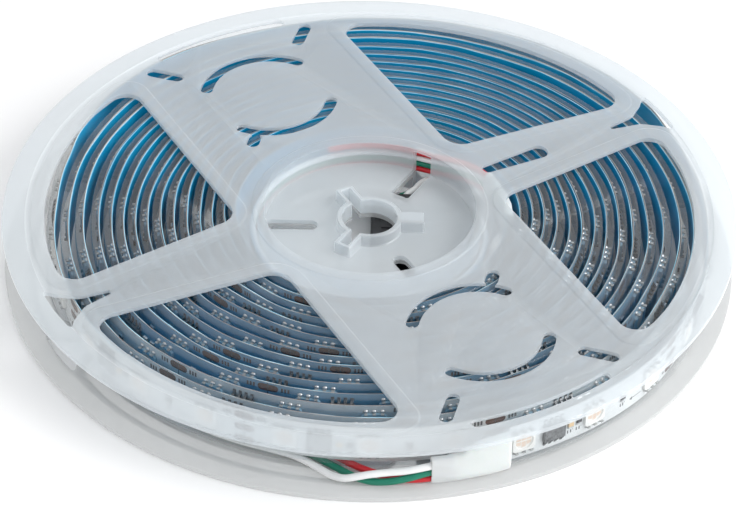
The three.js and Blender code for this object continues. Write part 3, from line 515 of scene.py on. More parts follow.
def reel_half(name, with_collar):
    top = REEL_H
    low = top - BEAD_T - PLATE_T
    ptop = top - BEAD_T
    mid = top / 2 + HALF_GAP
    f = 0.28
    o = prism(name, circle(R, 288), [(low, -f), (low + 0.3 * f, -0.3 * f), (low + f, 0),
                                     (top - f, 0), (top - 0.3 * f, -0.3 * f), (top, -f)])
    # recess of the plate between the rim, the window borders and the hub ring
    recess = prism("recess", circle(R - RIM_W, 288), [(ptop, -0.55), (ptop + 0.05, -0.25), (ptop + 0.14, -0.08), (top, 0.04), (top + 0.5, 0.04)])
    quads = [(1, 1), (-1, 1), (-1, -1), (1, -1)]
    beads = []
    for su, sv in quads:
        w = ccw(window_outline(BEAD_W) * np.array([su, sv]))
        beads.append(prism("bead", turn(w, PATTERN), [(ptop - 0.6, 0.5), (ptop, 0.5), (ptop + 0.05, 0.2), (ptop + 0.14, 0.02), (top - 0.06, -0.08), (top, -0.3), (top + 1.0, -0.3)]))
    beads.append(prism("ring", circle(WELL_R + 3.0, 160), [(ptop - 0.6, 0.4), (ptop, 0.4), (ptop + 0.05, 0.15), (ptop + 0.14, 0.0), (top - 0.06, -0.08), (top, -0.25), (top + 1.0, -0.25)]))
    recess = boolean(recess, fuse(beads), "DIFFERENCE")
    o = boolean(o, recess, "DIFFERENCE")
    # hub wall and floor
    hub = prism("hub", circle(WELL_R + HUB_WALL, 160), [(mid, -0.15), (mid + 0.15, 0), (low + 0.5, 0)])
    o = boolean(o, hub, "UNION")
    e = 0.3
    well = prism("well", circle(WELL_R, 160), [(mid + FLOOR_T, -0.5), (mid + FLOOR_T + 0.15, -0.12), (mid + FLOOR_T + 0.5, 0),
                                               (top - e, 0.0), (top - 0.3 * e, 0.3 * e), (top, e), (top + 1, e)])
    o = boolean(o, well, "DIFFERENCE")
    # windows and slots, with eased edges on both faces
    lev = [(low - 1, e), (low, e), (low + 0.3 * e, 0.3 * e), (low + e, 0), (top - e, 0), (top - 0.3 * e, 0.3 * e), (top, e), (top + 1, e)]
    lev_s = [(low - 1, 0.2), (low, 0.2), (low + 0.2, 0), (ptop - 0.22, 0), (ptop - 0.06, 0.07), (ptop, 0.24), (top + 1, 0.24)]
    cutters = [prism("w", turn(ccw(window_outline(0) * np.array(q)), PATTERN), lev) for q in quads]
    slots, nubs = small_openings()
    cutters += [prism("s", turn(s, PATTERN), lev_s) for s in slots]
    o = boolean(o, fuse(cutters), "DIFFERENCE")
    o = boolean(o, fuse([prism("n", turn(s, PATTERN), lev_s) for s in nubs]), "DIFFERENCE")
    ft = mid + FLOOR_T
    if with_collar:
        c = prism("collar", circle(COLLAR_R, 96), [(mid + 0.3, 0.25), (ft, 0.25), (ft + 0.25, 0), (ft + COLLAR_H - 0.2, 0), (ft + COLLAR_H, -0.2)])
        o = boolean(o, c, "UNION")
        for d in (0, 120, 240):
            k = prism("key", box_outline(0, KEY_REACH, -KEY_W / 2, KEY_W / 2, 0.5, d),
                      [(mid + 0.3, 0.25), (ft, 0.25), (ft + 0.25, 0), (ft + COLLAR_H - 0.2, 0), (ft + COLLAR_H, -0.2)])
            o = boolean(o, k, "UNION")
    for d in (120, 240):
        w = KEY_W / 2 - KEY_WALL
        k = prism("keyway", box_outline(0, KEY_REACH - KEY_WALL, -w, w, 0.25, d),
                  [(mid - 1, 0), (ft + COLLAR_H - 0.2, 0), (ft + COLLAR_H, 0.18), (top + 1, 0.18)])
        o = boolean(o, k, "DIFFERENCE")
    h = prism("hole", circle(HOLE_R, 96), [(mid - 1, 0), (ft + COLLAR_H - 0.2, 0), (ft + COLLAR_H, 0.2), (top + 1, 0.2)])
    o = boolean(o, h, "DIFFERENCE")
    tools = [prism("fs", turn(capsule(14.6, 0, 24.0, 0, 3.6), 180), [(mid - 1, 0), (ft - 0.15, 0), (ft + 0.4, 0.3)]),
             prism("fs", turn(capsule(15.4, 0, 24.0, 0, 3.6), 300), [(mid - 1, 0), (ft - 0.15, 0), (ft + 0.4, 0.3)]),
             prism("ws", box_outline(14.6, WELL_R + HUB_WALL + 0.6, -2.5, 2.5, 0.6, 60), [(mid - 1, 0), (ft + 0.5, 0)])]
    o = boolean(o, fuse(tools), "DIFFERENCE")
    o = boolean(o, prism("wall_slot", box_outline(WELL_R - 1.5, WELL_R + HUB_WALL + 0.6, -2.5, 2.5, 0, 60),
                         [(mid - 1, 0), (top - 0.8, 0)]), "DIFFERENCE")
    me = o.data
    me.materials.clear()
    # the lower half takes the darker copy of the plastic, painted shade
    me.materials.append(M_REEL_LOW_PAINTED_SHADE if name == "reel_bottom" else M_REEL)
    me.polygons.foreach_set("material_index", [0] * len(me.polygons))
    me.polygons.foreach_set("use_smooth", [True] * len(me.polygons))
    me.set_sharp_from_angle(angle=math.radians(34))
    o.name = name
    return o


def mirror_z(o, h):
    me = o.data
    co = np.zeros(len(me.vertices) * 3, np.float32)
    me.vertices.foreach_get("co", co)
    co = co.reshape(-1, 3)
    co[:, 2] = h * MM - co[:, 2]
    me.vertices.foreach_set("co", co.ravel())
    bm = bmesh.new()
    bm.from_mesh(me)
    bmesh.ops.reverse_faces(bm, faces=bm.faces)
    bm.to_mesh(me)
    bm.free()
    me.update()


reel_top = reel_half("reel_top", True)
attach(reel_top, "root"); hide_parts("reel_top_half")
reel_bottom = reel_half("reel_bottom", False)
mirror_z(reel_bottom, REEL_H)
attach(reel_bottom, "root"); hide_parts("reel_bottom_half")

# ------------------------------------------------------------------ coil shape, as in the frame
STRIP_W, LINER_T, CIRCUIT_T, JACKET_T = 10.0, 0.12, 0.2, 1.75
GAP_IN, GAP_LINER, GAP_CIRCUIT = 0.57, 0.08, 0.1
STRIP_Z0, STRIP_Z1, LED_PITCH = 1.75, 3.3, 19.395
START_DEG, TURNS_END = -66.9, 14.83
GAP_TABLE = np.array([81.4, 78.0, 74.6, 70.4, 67.0, 63.6, 60.4, 57.2, 54.2, 51.0, 47.9, 44.7, 41.6, 38.5, 35.4, 32.3])
OFF_AZ = np.array([0, 60, 90, 135, 180, 225, 270, 296, 322, 342], float)
OFF_OUT = np.array([-0.2, 0, 0.2, -2.0, -3.6, -1.3, -0.9, -0.1, 1.0, 0.3])
OFF_IN = np.array([0.2, 0, -0.4, -1.4, -2.1, -1.6, -1.0, -0.5, 0, 0.1])
# the first half turn has sprung outwards
FLARE_AZ = np.array([-66, -30, 0, 15, 26, 35, 45, 60, 75, 90, 108, 129, 143, 156, 166, 180], float)
FLARE = np.array([0, 0, 0.6, 1.4, 2.6, 4.1, 4.8, 5.0, 4.3, 3.2, 2.6, 4.1, 2.8, 1.5, 0.5, 0.0])
# shifts along the strip at arc lengths, fitted so that the pads land where the photo has them
GIVE_S = np.array([0, 455, 924, 1394, 1859, 2264, 2669, 3075, 3422, 3771, 4061, 4645, 5600], float)
GIVE = np.array([0, -0.7, 2.4, 7.0, 7.0, 4.6, 2.0, 0.6, -1.6, -1.2, -2.2, 0.4, 0.0])
_ext = np.concatenate([[GAP_TABLE[0] + 2 * (GAP_TABLE[0] - GAP_TABLE[1]), GAP_TABLE[0] + (GAP_TABLE[0] - GAP_TABLE[1])],
                       GAP_TABLE, GAP_TABLE[-1] - (GAP_TABLE[-2] - GAP_TABLE[-1]) * np.arange(1, 4)])


def gap_curve(t):
    t = np.asarray(t, float)
    i = np.floor(t).astype(int)
    u = t - i
    k = i + 2
    p0, p1, p2, p3 = _ext[k - 1], _ext[k], _ext[k + 1], _ext[k + 2]
    return 0.5 * (2 * p1 + (p2 - p0) * u + (2 * p0 - 5 * p1 + 4 * p2 - p3) * u ** 2 + (-p0 + 3 * p1 - 3 * p2 + p3) * u ** 3)


def periodic(values, az):
    a = np.mod(az, 360.0)
    n = len(OFF_AZ)
    i = np.searchsorted(OFF_AZ, a, side="right") - 1
    a1 = np.where(i + 1 < n, OFF_AZ[np.minimum(i + 1, n - 1)], 360.0)
    u = (a - OFF_AZ[i]) / (a1 - OFF_AZ[i])
    s = u * u * (3 - 2 * u)
    return values[i] * (1 - s) + values[(i + 1) % n] * s


def flare(az):
    i = np.clip(np.searchsorted(FLARE_AZ, az, side="right") - 1, 0, len(FLARE_AZ) - 2)
    u = np.clip((az - FLARE_AZ[i]) / (FLARE_AZ[i + 1] - FLARE_AZ[i]), 0, 1)
    s = u * u * (3 - 2 * u)
    return FLARE[i] * (1 - s) + FLARE[i + 1] * s


def gap_radius(t):
    az = 60 + 360 * np.asarray(t, float)
    g = gap_curve(t)
    share = np.clip((g - 32.3) / (81.4 - 32.3), 0, 1.1)
    return g + periodic(OFF_OUT, az) * share + periodic(OFF_IN, az) * (1 - share) + flare(az)


def lower_edge(t):
    u = np.clip((np.asarray(t, float) + 0.167) / 0.5, 0, 1)
    return STRIP_Z0 + (STRIP_Z1 - STRIP_Z0) * u * u * (3 - 2 * u)


def t_of(az):
    return (az - 60.0) / 360.0


# a slow, small wander of the turns: neighbours wander together
def wander(t):
    az = np.radians(60 + 360 * np.asarray(t, float))
    k = np.asarray(t, float)
    w = (0.24 * np.sin(3 * az + 0.5 * k + 0.4) + 0.18 * np.sin(5 * az - 0.6 * k + 2.0) + 0.13 * np.sin(8 * az + 1.0 * k)
         + 0.07 * np.sin(13 * az + 0.7 * k + 1.0))
    fade = np.clip((k + 0.05) / 0.25, 0, 1) * np.clip((TURNS_END - k) / 0.4, 0, 1)
    return w * fade


T0, T1 = t_of(START_DEG), TURNS_END
_tt = np.linspace(T0, T1, 40000)
_rr = gap_radius(_tt) + 1.0 + wander(_tt)
_aa = np.radians(60 + 360 * _tt)
_xy = np.stack([_rr * np.cos(_aa), _rr * np.sin(_aa)], 1)
_ss = np.concatenate([[0], np.cumsum(np.linalg.norm(np.diff(_xy, axis=0), axis=1))])
S_TOTAL = float(_ss[-1])


def t_at(s):
    return np.interp(s, _ss, _tt)


def s_at(t):
    return np.interp(t, _tt, _ss)


def frame_at(s):
    """Origin on the outer face of the circuit, unit tangent and outward normal, lower edge, at arc length s."""
    s = np.atleast_1d(np.asarray(s, float))
    t = t_at(s)
    def point(tq):
        r = gap_radius(tq) + wander(tq) + GAP_IN + LINER_T + GAP_LINER + CIRCUIT_T
        a = np.radians(60 + 360 * tq)
        return np.stack([r * np.cos(a), r * np.sin(a)], 1)
    p = point(t)
    d = point(t + 2e-4) - point(t - 2e-4)
    d /= np.linalg.norm(d, axis=1, keepdims=True)
    nrm = np.stack([d[:, 1], -d[:, 0]], 1)
    return p, d, nrm, lower_edge(t)


def ribbon(name, section, mats, step=1.1, s0=0.0, s1=None, edge_mat=None, wave=None, cap=True):
    """Sweep a closed section (offset outwards from the circuit's outer face, height over the lower edge) along the coil."""
    s1 = S_TOTAL if s1 is None else s1
    n = max(8, int((s1 - s0) / step))
    s = np.linspace(s0, s1, n)
    p, d, nrm, z = frame_at(s)
    sec = np.asarray(section, float)
    m = len(sec)
    off = np.repeat(sec[None, :, 0], n, 0)
    hz = np.repeat(sec[None, :, 1], n, 0)
    if wave is not None:
        do, dz = wave(s, sec)
        off = off + do
        hz = hz + dz
    x = p[:, None, 0] + nrm[:, None, 0] * off
    y = p[:, None, 1] + nrm[:, None, 1] * off
    zz = z[:, None] + hz
    verts = np.stack([x, y, zz], 2).reshape(-1, 3)
    i = np.arange(n - 1)[:, None] * m
    k = np.arange(m)[None, :]
    k2 = (k + 1) % m
    f = np.stack([i + k, i + k2, i + m + k2, i + m + k], 2).reshape(-1, 4)
    # outward orientation: section runs counter-clockwise in (offset, height)
    if signed_area(sec) > 0:
        f = f[:, ::-1]
    faces = f.tolist()
    fm = None
    if edge_mat is not None:
        fm = np.tile(np.asarray(edge_mat, int), n - 1).tolist()
    if cap:
        faces.append(list(range(m)) if signed_area(sec) > 0 else list(range(m - 1, -1, -1)))
        last = (n - 1) * m
        faces.append(list(range(last + m - 1, last - 1, -1)) if signed_area(sec) > 0 else list(range(last, last + m)))
        if fm is not None:
            fm += [0, 0]
    return build(name, verts, faces, mats, True, 40, fm)


def fillet_section(o0, o1, z0, z1, r_out, r_in=0.05, n=5):
    """Counter-clockwise section with rounded outer corners."""
    pts = []
    def arc(cx, cz, r, a0, a1, k):
        for j in range(k + 1):
            a = math.radians(a0 + (a1 - a0) * j / k)
            pts.append((cx + r * math.cos(a), cz + r * math.sin(a)))
    arc(o1 - r_out, z0 + r_out, r_out, -90, 0, n)
    arc(o1 - r_out, z1 - r_out, r_out, 0, 90, n)
    pts.append((o0, z1))
    pts.append((o0, z0))
    return pts


# clear jacket, domed, over the white face
J0 = GAP_CIRCUIT * 0.7
J1 = GAP_CIRCUIT + JACKET_T
jacket = ribbon("strip_jacket_clear", fillet_section(J0, J1 - 0.05, 0.0, STRIP_W, 0.62), [M_GEL, M_GEL_TOP], step=1.3)
# the cast edges of the jacket are duller than its faces
_pc = np.zeros(len(jacket.data.polygons) * 3, np.float32)
jacket.data.polygons.foreach_get("center", _pc)
_pz = _pc.reshape(-1, 3)[:, 2]
jacket.data.polygons.foreach_set("material_index", ((_pz > _pz.max() - 0.0003) | (_pz < _pz.min() + 0.0003)).astype(np.int32))
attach(jacket, "root"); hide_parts("strip_jacket")

# flexible circuit: white faces, bare edges
sec = [(0.0, 0.0), (0.0, STRIP_W), (-CIRCUIT_T, STRIP_W), (-CIRCUIT_T, 0.0)]
circuit = ribbon("strip_circuit_white", sec, [M_PCB, M_PCB_EDGE, M_PCB_PAINTED_BLUE_BOUNCE, M_PCB_PAINTED_HALF_BOUNCE], step=1.3, edge_mat=[0, 1, 0, 1])
# painted shade and blue bounce light: past the first turn the white circuit is coloured darker and blue, a lighter
# half-blue copy on the second and third turns and a full one further in
_mi = np.zeros(len(circuit.data.polygons), np.int32)
circuit.data.polygons.foreach_get("material_index", _mi)
_n = (len(_mi) - 2) // 4
_at = np.repeat(np.arange(_n) / _n * S_TOTAL, 4)
_mi[:-2] = np.where((_mi[:-2] == 0) & (_at > s_at(t_of(START_DEG) + 3.0)), 2, _mi[:-2])
_mi[:-2] = np.where((_mi[:-2] == 0) & (_at > s_at(t_of(START_DEG) + 1.0)), 3, _mi[:-2])
circuit.data.polygons.foreach_set("material_index", _mi)
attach(circuit, "root"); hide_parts("strip_circuit")


# blue liner: a thin film whose edges wander in and out
def liner_wave(s, sec):
    up = (np.asarray(sec)[:, 1] / STRIP_W)[None, :]
    s = s[:, None]
    w = 0.10 * np.sin(s / 6.3) + 0.07 * np.sin(s / 3.1 + 1.2) + 0.05 * np.sin(s / 11.7)
    lift = -0.16 * np.clip(np.sin(s / 21.0 + 0.8 * np.sin(s / 57.0)), 0, 1) ** 2
    edge = np.abs(up - 0.5) * 2
    do = (w * 0.35 + lift) * edge ** 2
    dz = np.where(up > 0.5, 1, -1) * (0.06 * np.sin(s / 4.3) + 0.05 * np.sin(s / 1.9 + 2)) * edge
    return do, dz


LI0, LI1 = -(CIRCUIT_T + GAP_LINER + LINER_T), -(CIRCUIT_T + 0.03)
sec = [(LI1, 0.2), (LI1, STRIP_W * 0.5), (LI1, STRIP_W - 0.22), (LI0, STRIP_W - 0.22), (LI0, STRIP_W * 0.5), (LI0, 0.2)]
liner = ribbon("strip_liner_blue", sec, [M_LINER, M_LINER_EDGE], step=1.1, edge_mat=[0, 0, 1, 0, 0, 1], wave=liner_wave)
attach(liner, "root"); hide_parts("strip_liner")

# ------------------------------------------------------------------ components
FIRST_LED_S = float(s_at(t_of(-64.4)))
groups = []
g = 0
while FIRST_LED_S + (g * 3 + 2.6) * LED_PITCH < S_TOTAL - 4:
    groups.append(g)
    g += 1


def places(*at):
    s = np.array([(g * 3 + k) * LED_PITCH for g in groups for k in at])
    return FIRST_LED_S + s + np.interp(s, GIVE_S, GIVE)


LED_S = places(0, 1, 2)
CHIP_S, CAP_S, RA_S, RB_S, PAD_S = places(0.41), places(0.65), places(0.775), places(1.47), places(2.5)


def template(parts):
    """Merge (verts, faces) pieces."""
    V, F = [], []
    for v, f in parts:
        b = sum(len(x) for x in V)
        V.append(np.asarray(v, float))
        F += [[b + i for i in q] for q in f]
    return np.concatenate(V), F


def tbox(l0, l1, w0, w1, h0, h1, inset=0.0):
    """A box: along, across and height over the circuit; the top is drawn in by inset."""
    i = inset
    v = [(l0, w0, h0), (l1, w0, h0), (l1, w1, h0), (l0, w1, h0),
         (l0 + i, w0 + i, h1), (l1 - i, w0 + i, h1), (l1 - i, w1 - i, h1), (l0 + i, w1 - i, h1)]
    f = [(0, 3, 2, 1), (4, 5, 6, 7), (0, 1, 5, 4), (1, 2, 6, 5), (2, 3, 7, 6), (3, 0, 4, 7)]
    return v, f


def tbox_b(l0, l1, w0, w1, h0, h1, b):
    """A box with bevelled upper edges."""
    ring = lambda i, h: [(l0 + i, w0 + i, h), (l1 - i, w0 + i, h), (l1 - i, w1 - i, h), (l0 + i, w1 - i, h)]
    v = ring(0, h0) + ring(0, h1 - b) + ring(b * 0.35, h1 - b * 0.3) + ring(b, h1)
    f = [(0, 3, 2, 1)]
    for k in range(3):
        for j in range(4):
            a, c = k * 4 + j, k * 4 + (j + 1) % 4
            f.append((a, c, c + 4, a + 4))
    f.append((12, 13, 14, 15))
    return v, f


def tcyl(cx, cy, r0, h0, r1, h1, n=20, capped=True, flip=False):
    a = np.arange(n) / n * 2 * math.pi
    v = [(cx + r0 * math.cos(x), cy + r0 * math.sin(x), h0) for x in a] + [(cx + r1 * math.cos(x), cy + r1 * math.sin(x), h1) for x in a]
    f = [(i, (i + 1) % n, n + (i + 1) % n, n + i) for i in range(n)]
    if flip:
        f = [q[::-1] for q in f]
    if capped:
        f.append(tuple(range(n, 2 * n)))
    return v, f


def tfillet(l0, l1, w_in, w_out, h_in, h_out, side):
    """A small solder fillet: high at the body, low outwards, domed."""
    n = 4
    prof = []
    for k in range(n + 1):
        u = k / n
        prof.append((w_in + (w_out - w_in) * u, h_out + (h_in - h_out) * (1 - u) ** 1.8))
    v = []
    for i in (0, 1):
        ll = l0 if i == 0 else l1
        for w, h in prof:
            v.append((ll + (0.08 if i == 0 else -0.08), side * w, h))
        for w, h in prof[::-1]:
            v.append((ll, side * w, 0.0))
    m = 2 * (n + 1)
    f = []
    for j in range(m):
        a, b = j, (j + 1) % m
        f.append((a, b, m + b, m + a))
    f.append(tuple(range(m - 1, -1, -1)))
    f.append(tuple(range(m, 2 * m)))
    if side > 0:
        f = [q[::-1] for q in f]
    return v, f


def tflat(outline, h, th=0.02):
    """A thin flat patch on the circuit."""
    p = ccw(outline)
    n = len(p)
    v = [(x, y, h - th) for x, y in p] + [(x, y, h) for x, y in p]
    f = [tuple(range(n - 1, -1, -1)), tuple(range(n, 2 * n))]
    f += [(i, (i + 1) % n, n + (i + 1) % n, n + i) for i in range(n)]
    return v, f


def scatter(name, tpl, places, mats, face_mat=None, across=0.0, smooth=False, sharp=35, flex=True, real=False):
    """Copy a template (along, across, height) to places along the strip. It follows the curve
    of the strip if flex; its plan is in real millimetres if real."""
    V, F = tpl
    if real:
        V = V * np.array([1 / SCALE, 1 / SCALE, 1.0])
    nv = len(V)
    allv, allf, fm = [], [], []
    for k, s in enumerate(places):
        if flex:
            p, d, nrm, z = frame_at(s + V[:, 0])
            x = p[:, 0] + nrm[:, 0] * V[:, 2]
            y = p[:, 1] + nrm[:, 1] * V[:, 2]
            zz = z + STRIP_W / 2 + across + V[:, 1]
        else:
            p, d, nrm, z = frame_at(s)
            x = p[0, 0] + d[0, 0] * V[:, 0] + nrm[0, 0] * V[:, 2]
            y = p[0, 1] + d[0, 1] * V[:, 0] + nrm[0, 1] * V[:, 2]
            zz = z[0] + STRIP_W / 2 + across + V[:, 1]
        allv.append(np.stack([x, y, zz], 1))
        allf += [[k * nv + i for i in q] for q in F]
        if face_mat is not None:
            fm += face_mat
    o = build(name, np.concatenate(allv), allf, mats, smooth, sharp, fm if face_mat is not None else None)
    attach(o, "root")
    return o


# light packages
parts, fmat = [], []
def put(tp, idx):
    parts.append(tp)
    fmat.extend([idx] * len(tp[1]))
body_h = 0.70
# frame with a round cavity: outer box walls, top ring, cavity wall and floor
n = 24
a = (np.arange(n) + 0.5) / n * 2 * math.pi
sq = []
for x in a:
    c, s_ = math.cos(x), math.sin(x)
    k = 2.5 / max(abs(c), abs(s_))
    sq.append((k * c, k * s_))
sq = np.array(sq)
cav = 2.05
V = [(x, y, 0.0) for x, y in sq] + [(x, y, body_h - 0.08) for x, y in sq] + [(x * 0.97, y * 0.97, body_h) for x, y in sq]
V += [(cav * math.cos(x), cav * math.sin(x), body_h) for x in a] + [(cav * 0.9 * math.cos(x), cav * 0.9 * math.sin(x), body_h - 0.35) for x in a]
F, fm_ = [], []
for k in range(4):
    for i in range(n):
        j = (i + 1) % n
        F.append((k * n + i, k * n + j, (k + 1) * n + j, (k + 1) * n + i))
        fm_.append(0)
F.append(tuple(range(4 * n, 5 * n))); fm_.append(1)
parts.append((V, F)); fmat.extend(fm_)
# leadframe pads in the cavity: three on each side, parted by pale lines
for side in (-1, 1):
    for k, (x0, x1) in enumerate([(-1.62, -0.62), (-0.45, 0.45), (0.62, 1.62)]):
        y1 = 1.5 if k == 1 else 1.05
        p = np.array([(x0, 0.16), (x1, 0.16), (x1, y1 * 0.72 if k == 2 else y1), ((x0 + x1) / 2, y1), (x0, y1 * 0.72 if k == 0 else y1)])
        p[:, 1] *= side
        put(tflat(p, body_h - 0.31, 0.03), 2)
leds = scatter("led_packages", template(parts), LED_S, [M_LEDBODY, M_EPOXY, M_LEDPAD, M_LEDBODY_PAINTED_BLUE_BOUNCE], fmat, flex=False, real=True)
# painted shade and blue bounce light: like the circuit, the packages past the first turn get a darker blue copy of
# their white body
_mi = np.zeros(len(leds.data.polygons), np.int32)
leds.data.polygons.foreach_get("material_index", _mi)
_at = np.repeat(LED_S, len(fmat))
_mi = np.where((_mi == 0) & (_at > s_at(t_of(START_DEG) + 1.0)), 3, _mi)
leds.data.polygons.foreach_set("material_index", _mi)
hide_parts(*["led_%d" % i for i in range(1, 7)])


def tdome(x, y, ax, ay, h, n=10, m=3):
    """A drop of solder: a flattened half ball on the circuit."""
    v, f = [], []
    for k in range(m):
        e = math.pi / 2 * k / m
        for i in range(n):
            q = 2 * math.pi * i / n
            v.append((x + ax * math.cos(e) * math.cos(q), y + ay * math.cos(e) * math.sin(q), h * math.sin(e)))
    v.append((x, y, h))
    for k in range(m - 1):
        for i in range(n):
            j = (i + 1) % n
            f.append((k * n + i, k * n + j, (k + 1) * n + j, (k + 1) * n + i))
    for i in range(n):
        f.append(((m - 1) * n + i, (m - 1) * n + (i + 1) % n, m * n))
    return v, f


# solder joints of the lights, three on each side
parts = []
for side in (-1, 1):
    for x in (-1.92, 0.0, 1.92):
        parts.append(tdome(x, side * 3.28, 0.62, 0.56, 0.52))
joints = scatter("led_joints", template(parts), LED_S, [M_SOLDER], None, smooth=True, sharp=60)
parts = []
for side in (-1, 1):
    for x in (-1.92, 0.0, 1.92):
        lo, hi = (2.84, 3.18) if side > 0 else (-3.18, -2.84)
        parts.append(tbox_b(x - 0.36, x + 0.36, lo, hi, 0.0, 1.20, 0.08))
pins = scatter("led_pins", template(parts), LED_S, [M_PIN], None)

# driver chips
parts, fmat = [], []
put(tbox_b(-2.45, 2.45, -1.95, 1.95, 0.08, 1.15, 0.18), 0)
for side in (-1, 1):
    for x in (-1.905, -0.635, 0.635, 1.905):
        lo, hi = (1.93, 2.5) if side > 0 else (-2.5, -1.93)
        put(tbox(x - 0.24, x + 0.24, lo, hi, 0.42, 0.60), 1)
        put(tfillet(x - 0.34, x + 0.34, 2.25, 3.35, 0.95, 0.10, side), 1)
put(tcyl(-1.9, -1.35, 0.28, 1.151, 0.28, 1.156, 14), 2)
chips = scatter("driver_chips", template(parts), CHIP_S, [M_CHIP, M_LEG_PAINTED_DARK, M_INK], fmat, flex=False, real=True)
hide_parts("driver_chip_1", "driver_chip_2")

# two-terminal parts
def two_pin(name, places, mat, across, hgt, replaced):
    parts.clear(); fmat.clear()
    put(tbox_b(-0.6, 0.6, -0.62, 0.62, 0.05, hgt, 0.06), 0)
    for side in (-1, 1):
        lo, hi = (0.6, 1.0) if side > 0 else (-1.0, -0.6)
        put(tbox_b(-0.62, 0.62, lo, hi, 0.02, hgt + 0.02, 0.06), 1)
        put(tfillet(-0.66, 0.66, 0.98, 1.3, hgt * 0.8, 0.04, side), 1)
    o = scatter(name, template(parts), places, [mat, M_SOLDER], list(fmat), across=across, flex=False, real=True)
    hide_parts(*replaced)


two_pin("capacitors", CAP_S, M_CER, 0.0, 0.62, ["capacitor_1", "capacitor_2"])
two_pin("resistors_a", RA_S, M_RES, 0.0, 0.45, ["resistor_a_1", "resistor_a_2"])
two_pin("resistors_b", RB_S, M_RES, 0.0, 0.45, ["resistor_b_1", "resistor_b_2"])

# copper pads at each cut line: three pairs across the strip
parts, fmat = [], []
for yc in (-3.55, 0.0, 3.55):
    left = rounded([(-2.5, yc - 1.0, 0.95), (-0.12, yc - 1.0, 0), (-0.12, yc + 1.0, 0), (-2.5, yc + 1.0, 0.95)], 5)
    right = -(left - np.array([0, yc])) + np.array([0, yc])
    put(tflat(left, 0.03, 0.02), 0)
    put(tflat(right, 0.03, 0.02), 0)
pads = scatter("copper_pads", template(parts), PAD_S, [M_COPPER], None)

# plain printed marks: cut line, plus and minus signs, arrows, short ticks
parts, fmat = [], []
put(tflat(np.array([(-0.11, -4.9), (0.11, -4.9), (0.11, 4.9), (-0.11, 4.9)]), 0.045, 0.02), 0)
for sx in (-1, 1):
    for j in range(3):
        x = sx * (3.45 + 0.78 * j)
        put(tflat(np.array([(x - 0.24, 2.95), (x + 0.24, 2.95), (x + 0.24, 4.15), (x - 0.24, 4.15)]), 0.03), 0)
    x = sx * 3.5
    put(tflat(np.array([(x - 0.45, -3.65), (x + 0.45, -3.65), (x + 0.45, -3.45), (x - 0.45, -3.45)]), 0.03), 0)
    put(tflat(np.array([(x - 0.1, -4.0), (x + 0.1, -4.0), (x + 0.1, -3.1), (x - 0.1, -3.1)]), 0.035), 0)
marks_pad = scatter("pad_marks", template(parts), PAD_S, [M_INK], None)
parts, fmat = [], []
# arrow that points back along the strip
put(tflat(np.array([(-1.6, -0.09), (1.9, -0.09), (1.9, 0.09), (-1.6, 0.09)]) + np.array([0, -2.6]), 0.03), 0)
put(tflat(np.array([(-2.3, 0.0), (-1.3, -0.55), (-1.5, 0.0), (-1.3, 0.55)]) + np.array([0, -2.6]), 0.032), 0)
arrows = scatter("arrow_marks", template(parts), places(1.72), [M_INK], None)
parts = []
for dx in (-0.55, 0.25):
    parts.append(tflat(np.array([(dx - 0.14, -3.05), (dx + 0.16, -3.05), (dx + 0.16, -2.1), (dx - 0.14, -2.1)]), 0.03))
parts.append(tflat(np.array([(0.62, -2.25), (0.95, -2.25), (0.95, -2.1), (0.62, -2.1)]), 0.03))
ticks = scatter("part_ticks", template(parts), np.concatenate([CAP_S, RA_S, RB_S]), [M_INK], None)

# ------------------------------------------------------------------ wires
def polar(r, az, z):
    a = math.radians(az)
    return (r * math.cos(a), r * math.sin(a), z)


def smooth_path(points, step):
    """Centripetal Catmull-Rom through the points, resampled evenly."""
    P = np.array(points, float)
    P = np.concatenate([[2 * P[0] - P[1]], P, [2 * P[-1] - P[-2]]])
    out = []
    for i in range(1, len(P) - 2):
        p0, p1, p2, p3 = P[i - 1], P[i], P[i + 1], P[i + 2]
        t0 = 0.0
        t1 = t0 + max(np.linalg.norm(p1 - p0) ** 0.5, 1e-6)
        t2 = t1 + max(np.linalg.norm(p2 - p1) ** 0.5, 1e-6)
        t3 = t2 + max(np.linalg.norm(p3 - p2) ** 0.5, 1e-6)
        for t in np.linspace(t1, t2, 24, endpoint=False):
            a1 = (t1 - t) / (t1 - t0) * p0 + (t - t0) / (t1 - t0) * p1
            a2 = (t2 - t) / (t2 - t1) * p1 + (t - t1) / (t2 - t1) * p2
            a3 = (t3 - t) / (t3 - t2) * p2 + (t - t2) / (t3 - t2) * p3
            b1 = (t2 - t) / (t2 - t0) * a1 + (t - t0) / (t2 - t0) * a2
            b2 = (t3 - t) / (t3 - t1) * a2 + (t - t1) / (t3 - t1) * a3
            out.append((t2 - t) / (t2 - t1) * b1 + (t - t1) / (t2 - t1) * b2)
    out.append(P[-2])
    out = np.array(out)
    s = np.concatenate([[0], np.cumsum(np.linalg.norm(np.diff(out, axis=0), axis=1))])
    n = max(12, int(s[-1] / step))
    q = np.linspace(0, s[-1], n)
    return np.stack([np.interp(q, s, out[:, k]) for k in range(3)], 1), float(s[-1])


def tube(name, points, dia, mat, step=1.0, sides=16):
    path, length = smooth_path(points, step)
    n = len(path)
    d = np.gradient(path, axis=0)
    d /= np.linalg.norm(d, axis=1, keepdims=True)
    up = np.array([0, 0, 1.0])
    verts = []
    for i in range(n):
        side = np.cross(d[i], up); side /= np.linalg.norm(side)
        top = np.cross(side, d[i])
        for k in range(sides):
            a = 2 * math.pi * k / sides
            verts.append(path[i] + dia / 2 * (math.cos(a) * side + math.sin(a) * top))
    faces = []
    for i in range(n - 1):
        for k in range(sides):
            k2 = (k + 1) % sides
            faces.append((i * sides + k, i * sides + k2, (i + 1) * sides + k2, (i + 1) * sides + k))
    faces.append(tuple(range(sides - 1, -1, -1)))
    faces.append(tuple(range((n - 1) * sides, n * sides)))
    faces = [f[::-1] for f in faces]
    o = build(name, verts, faces, [mat], True, 40)
    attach(o, "root")
    return o, path, length


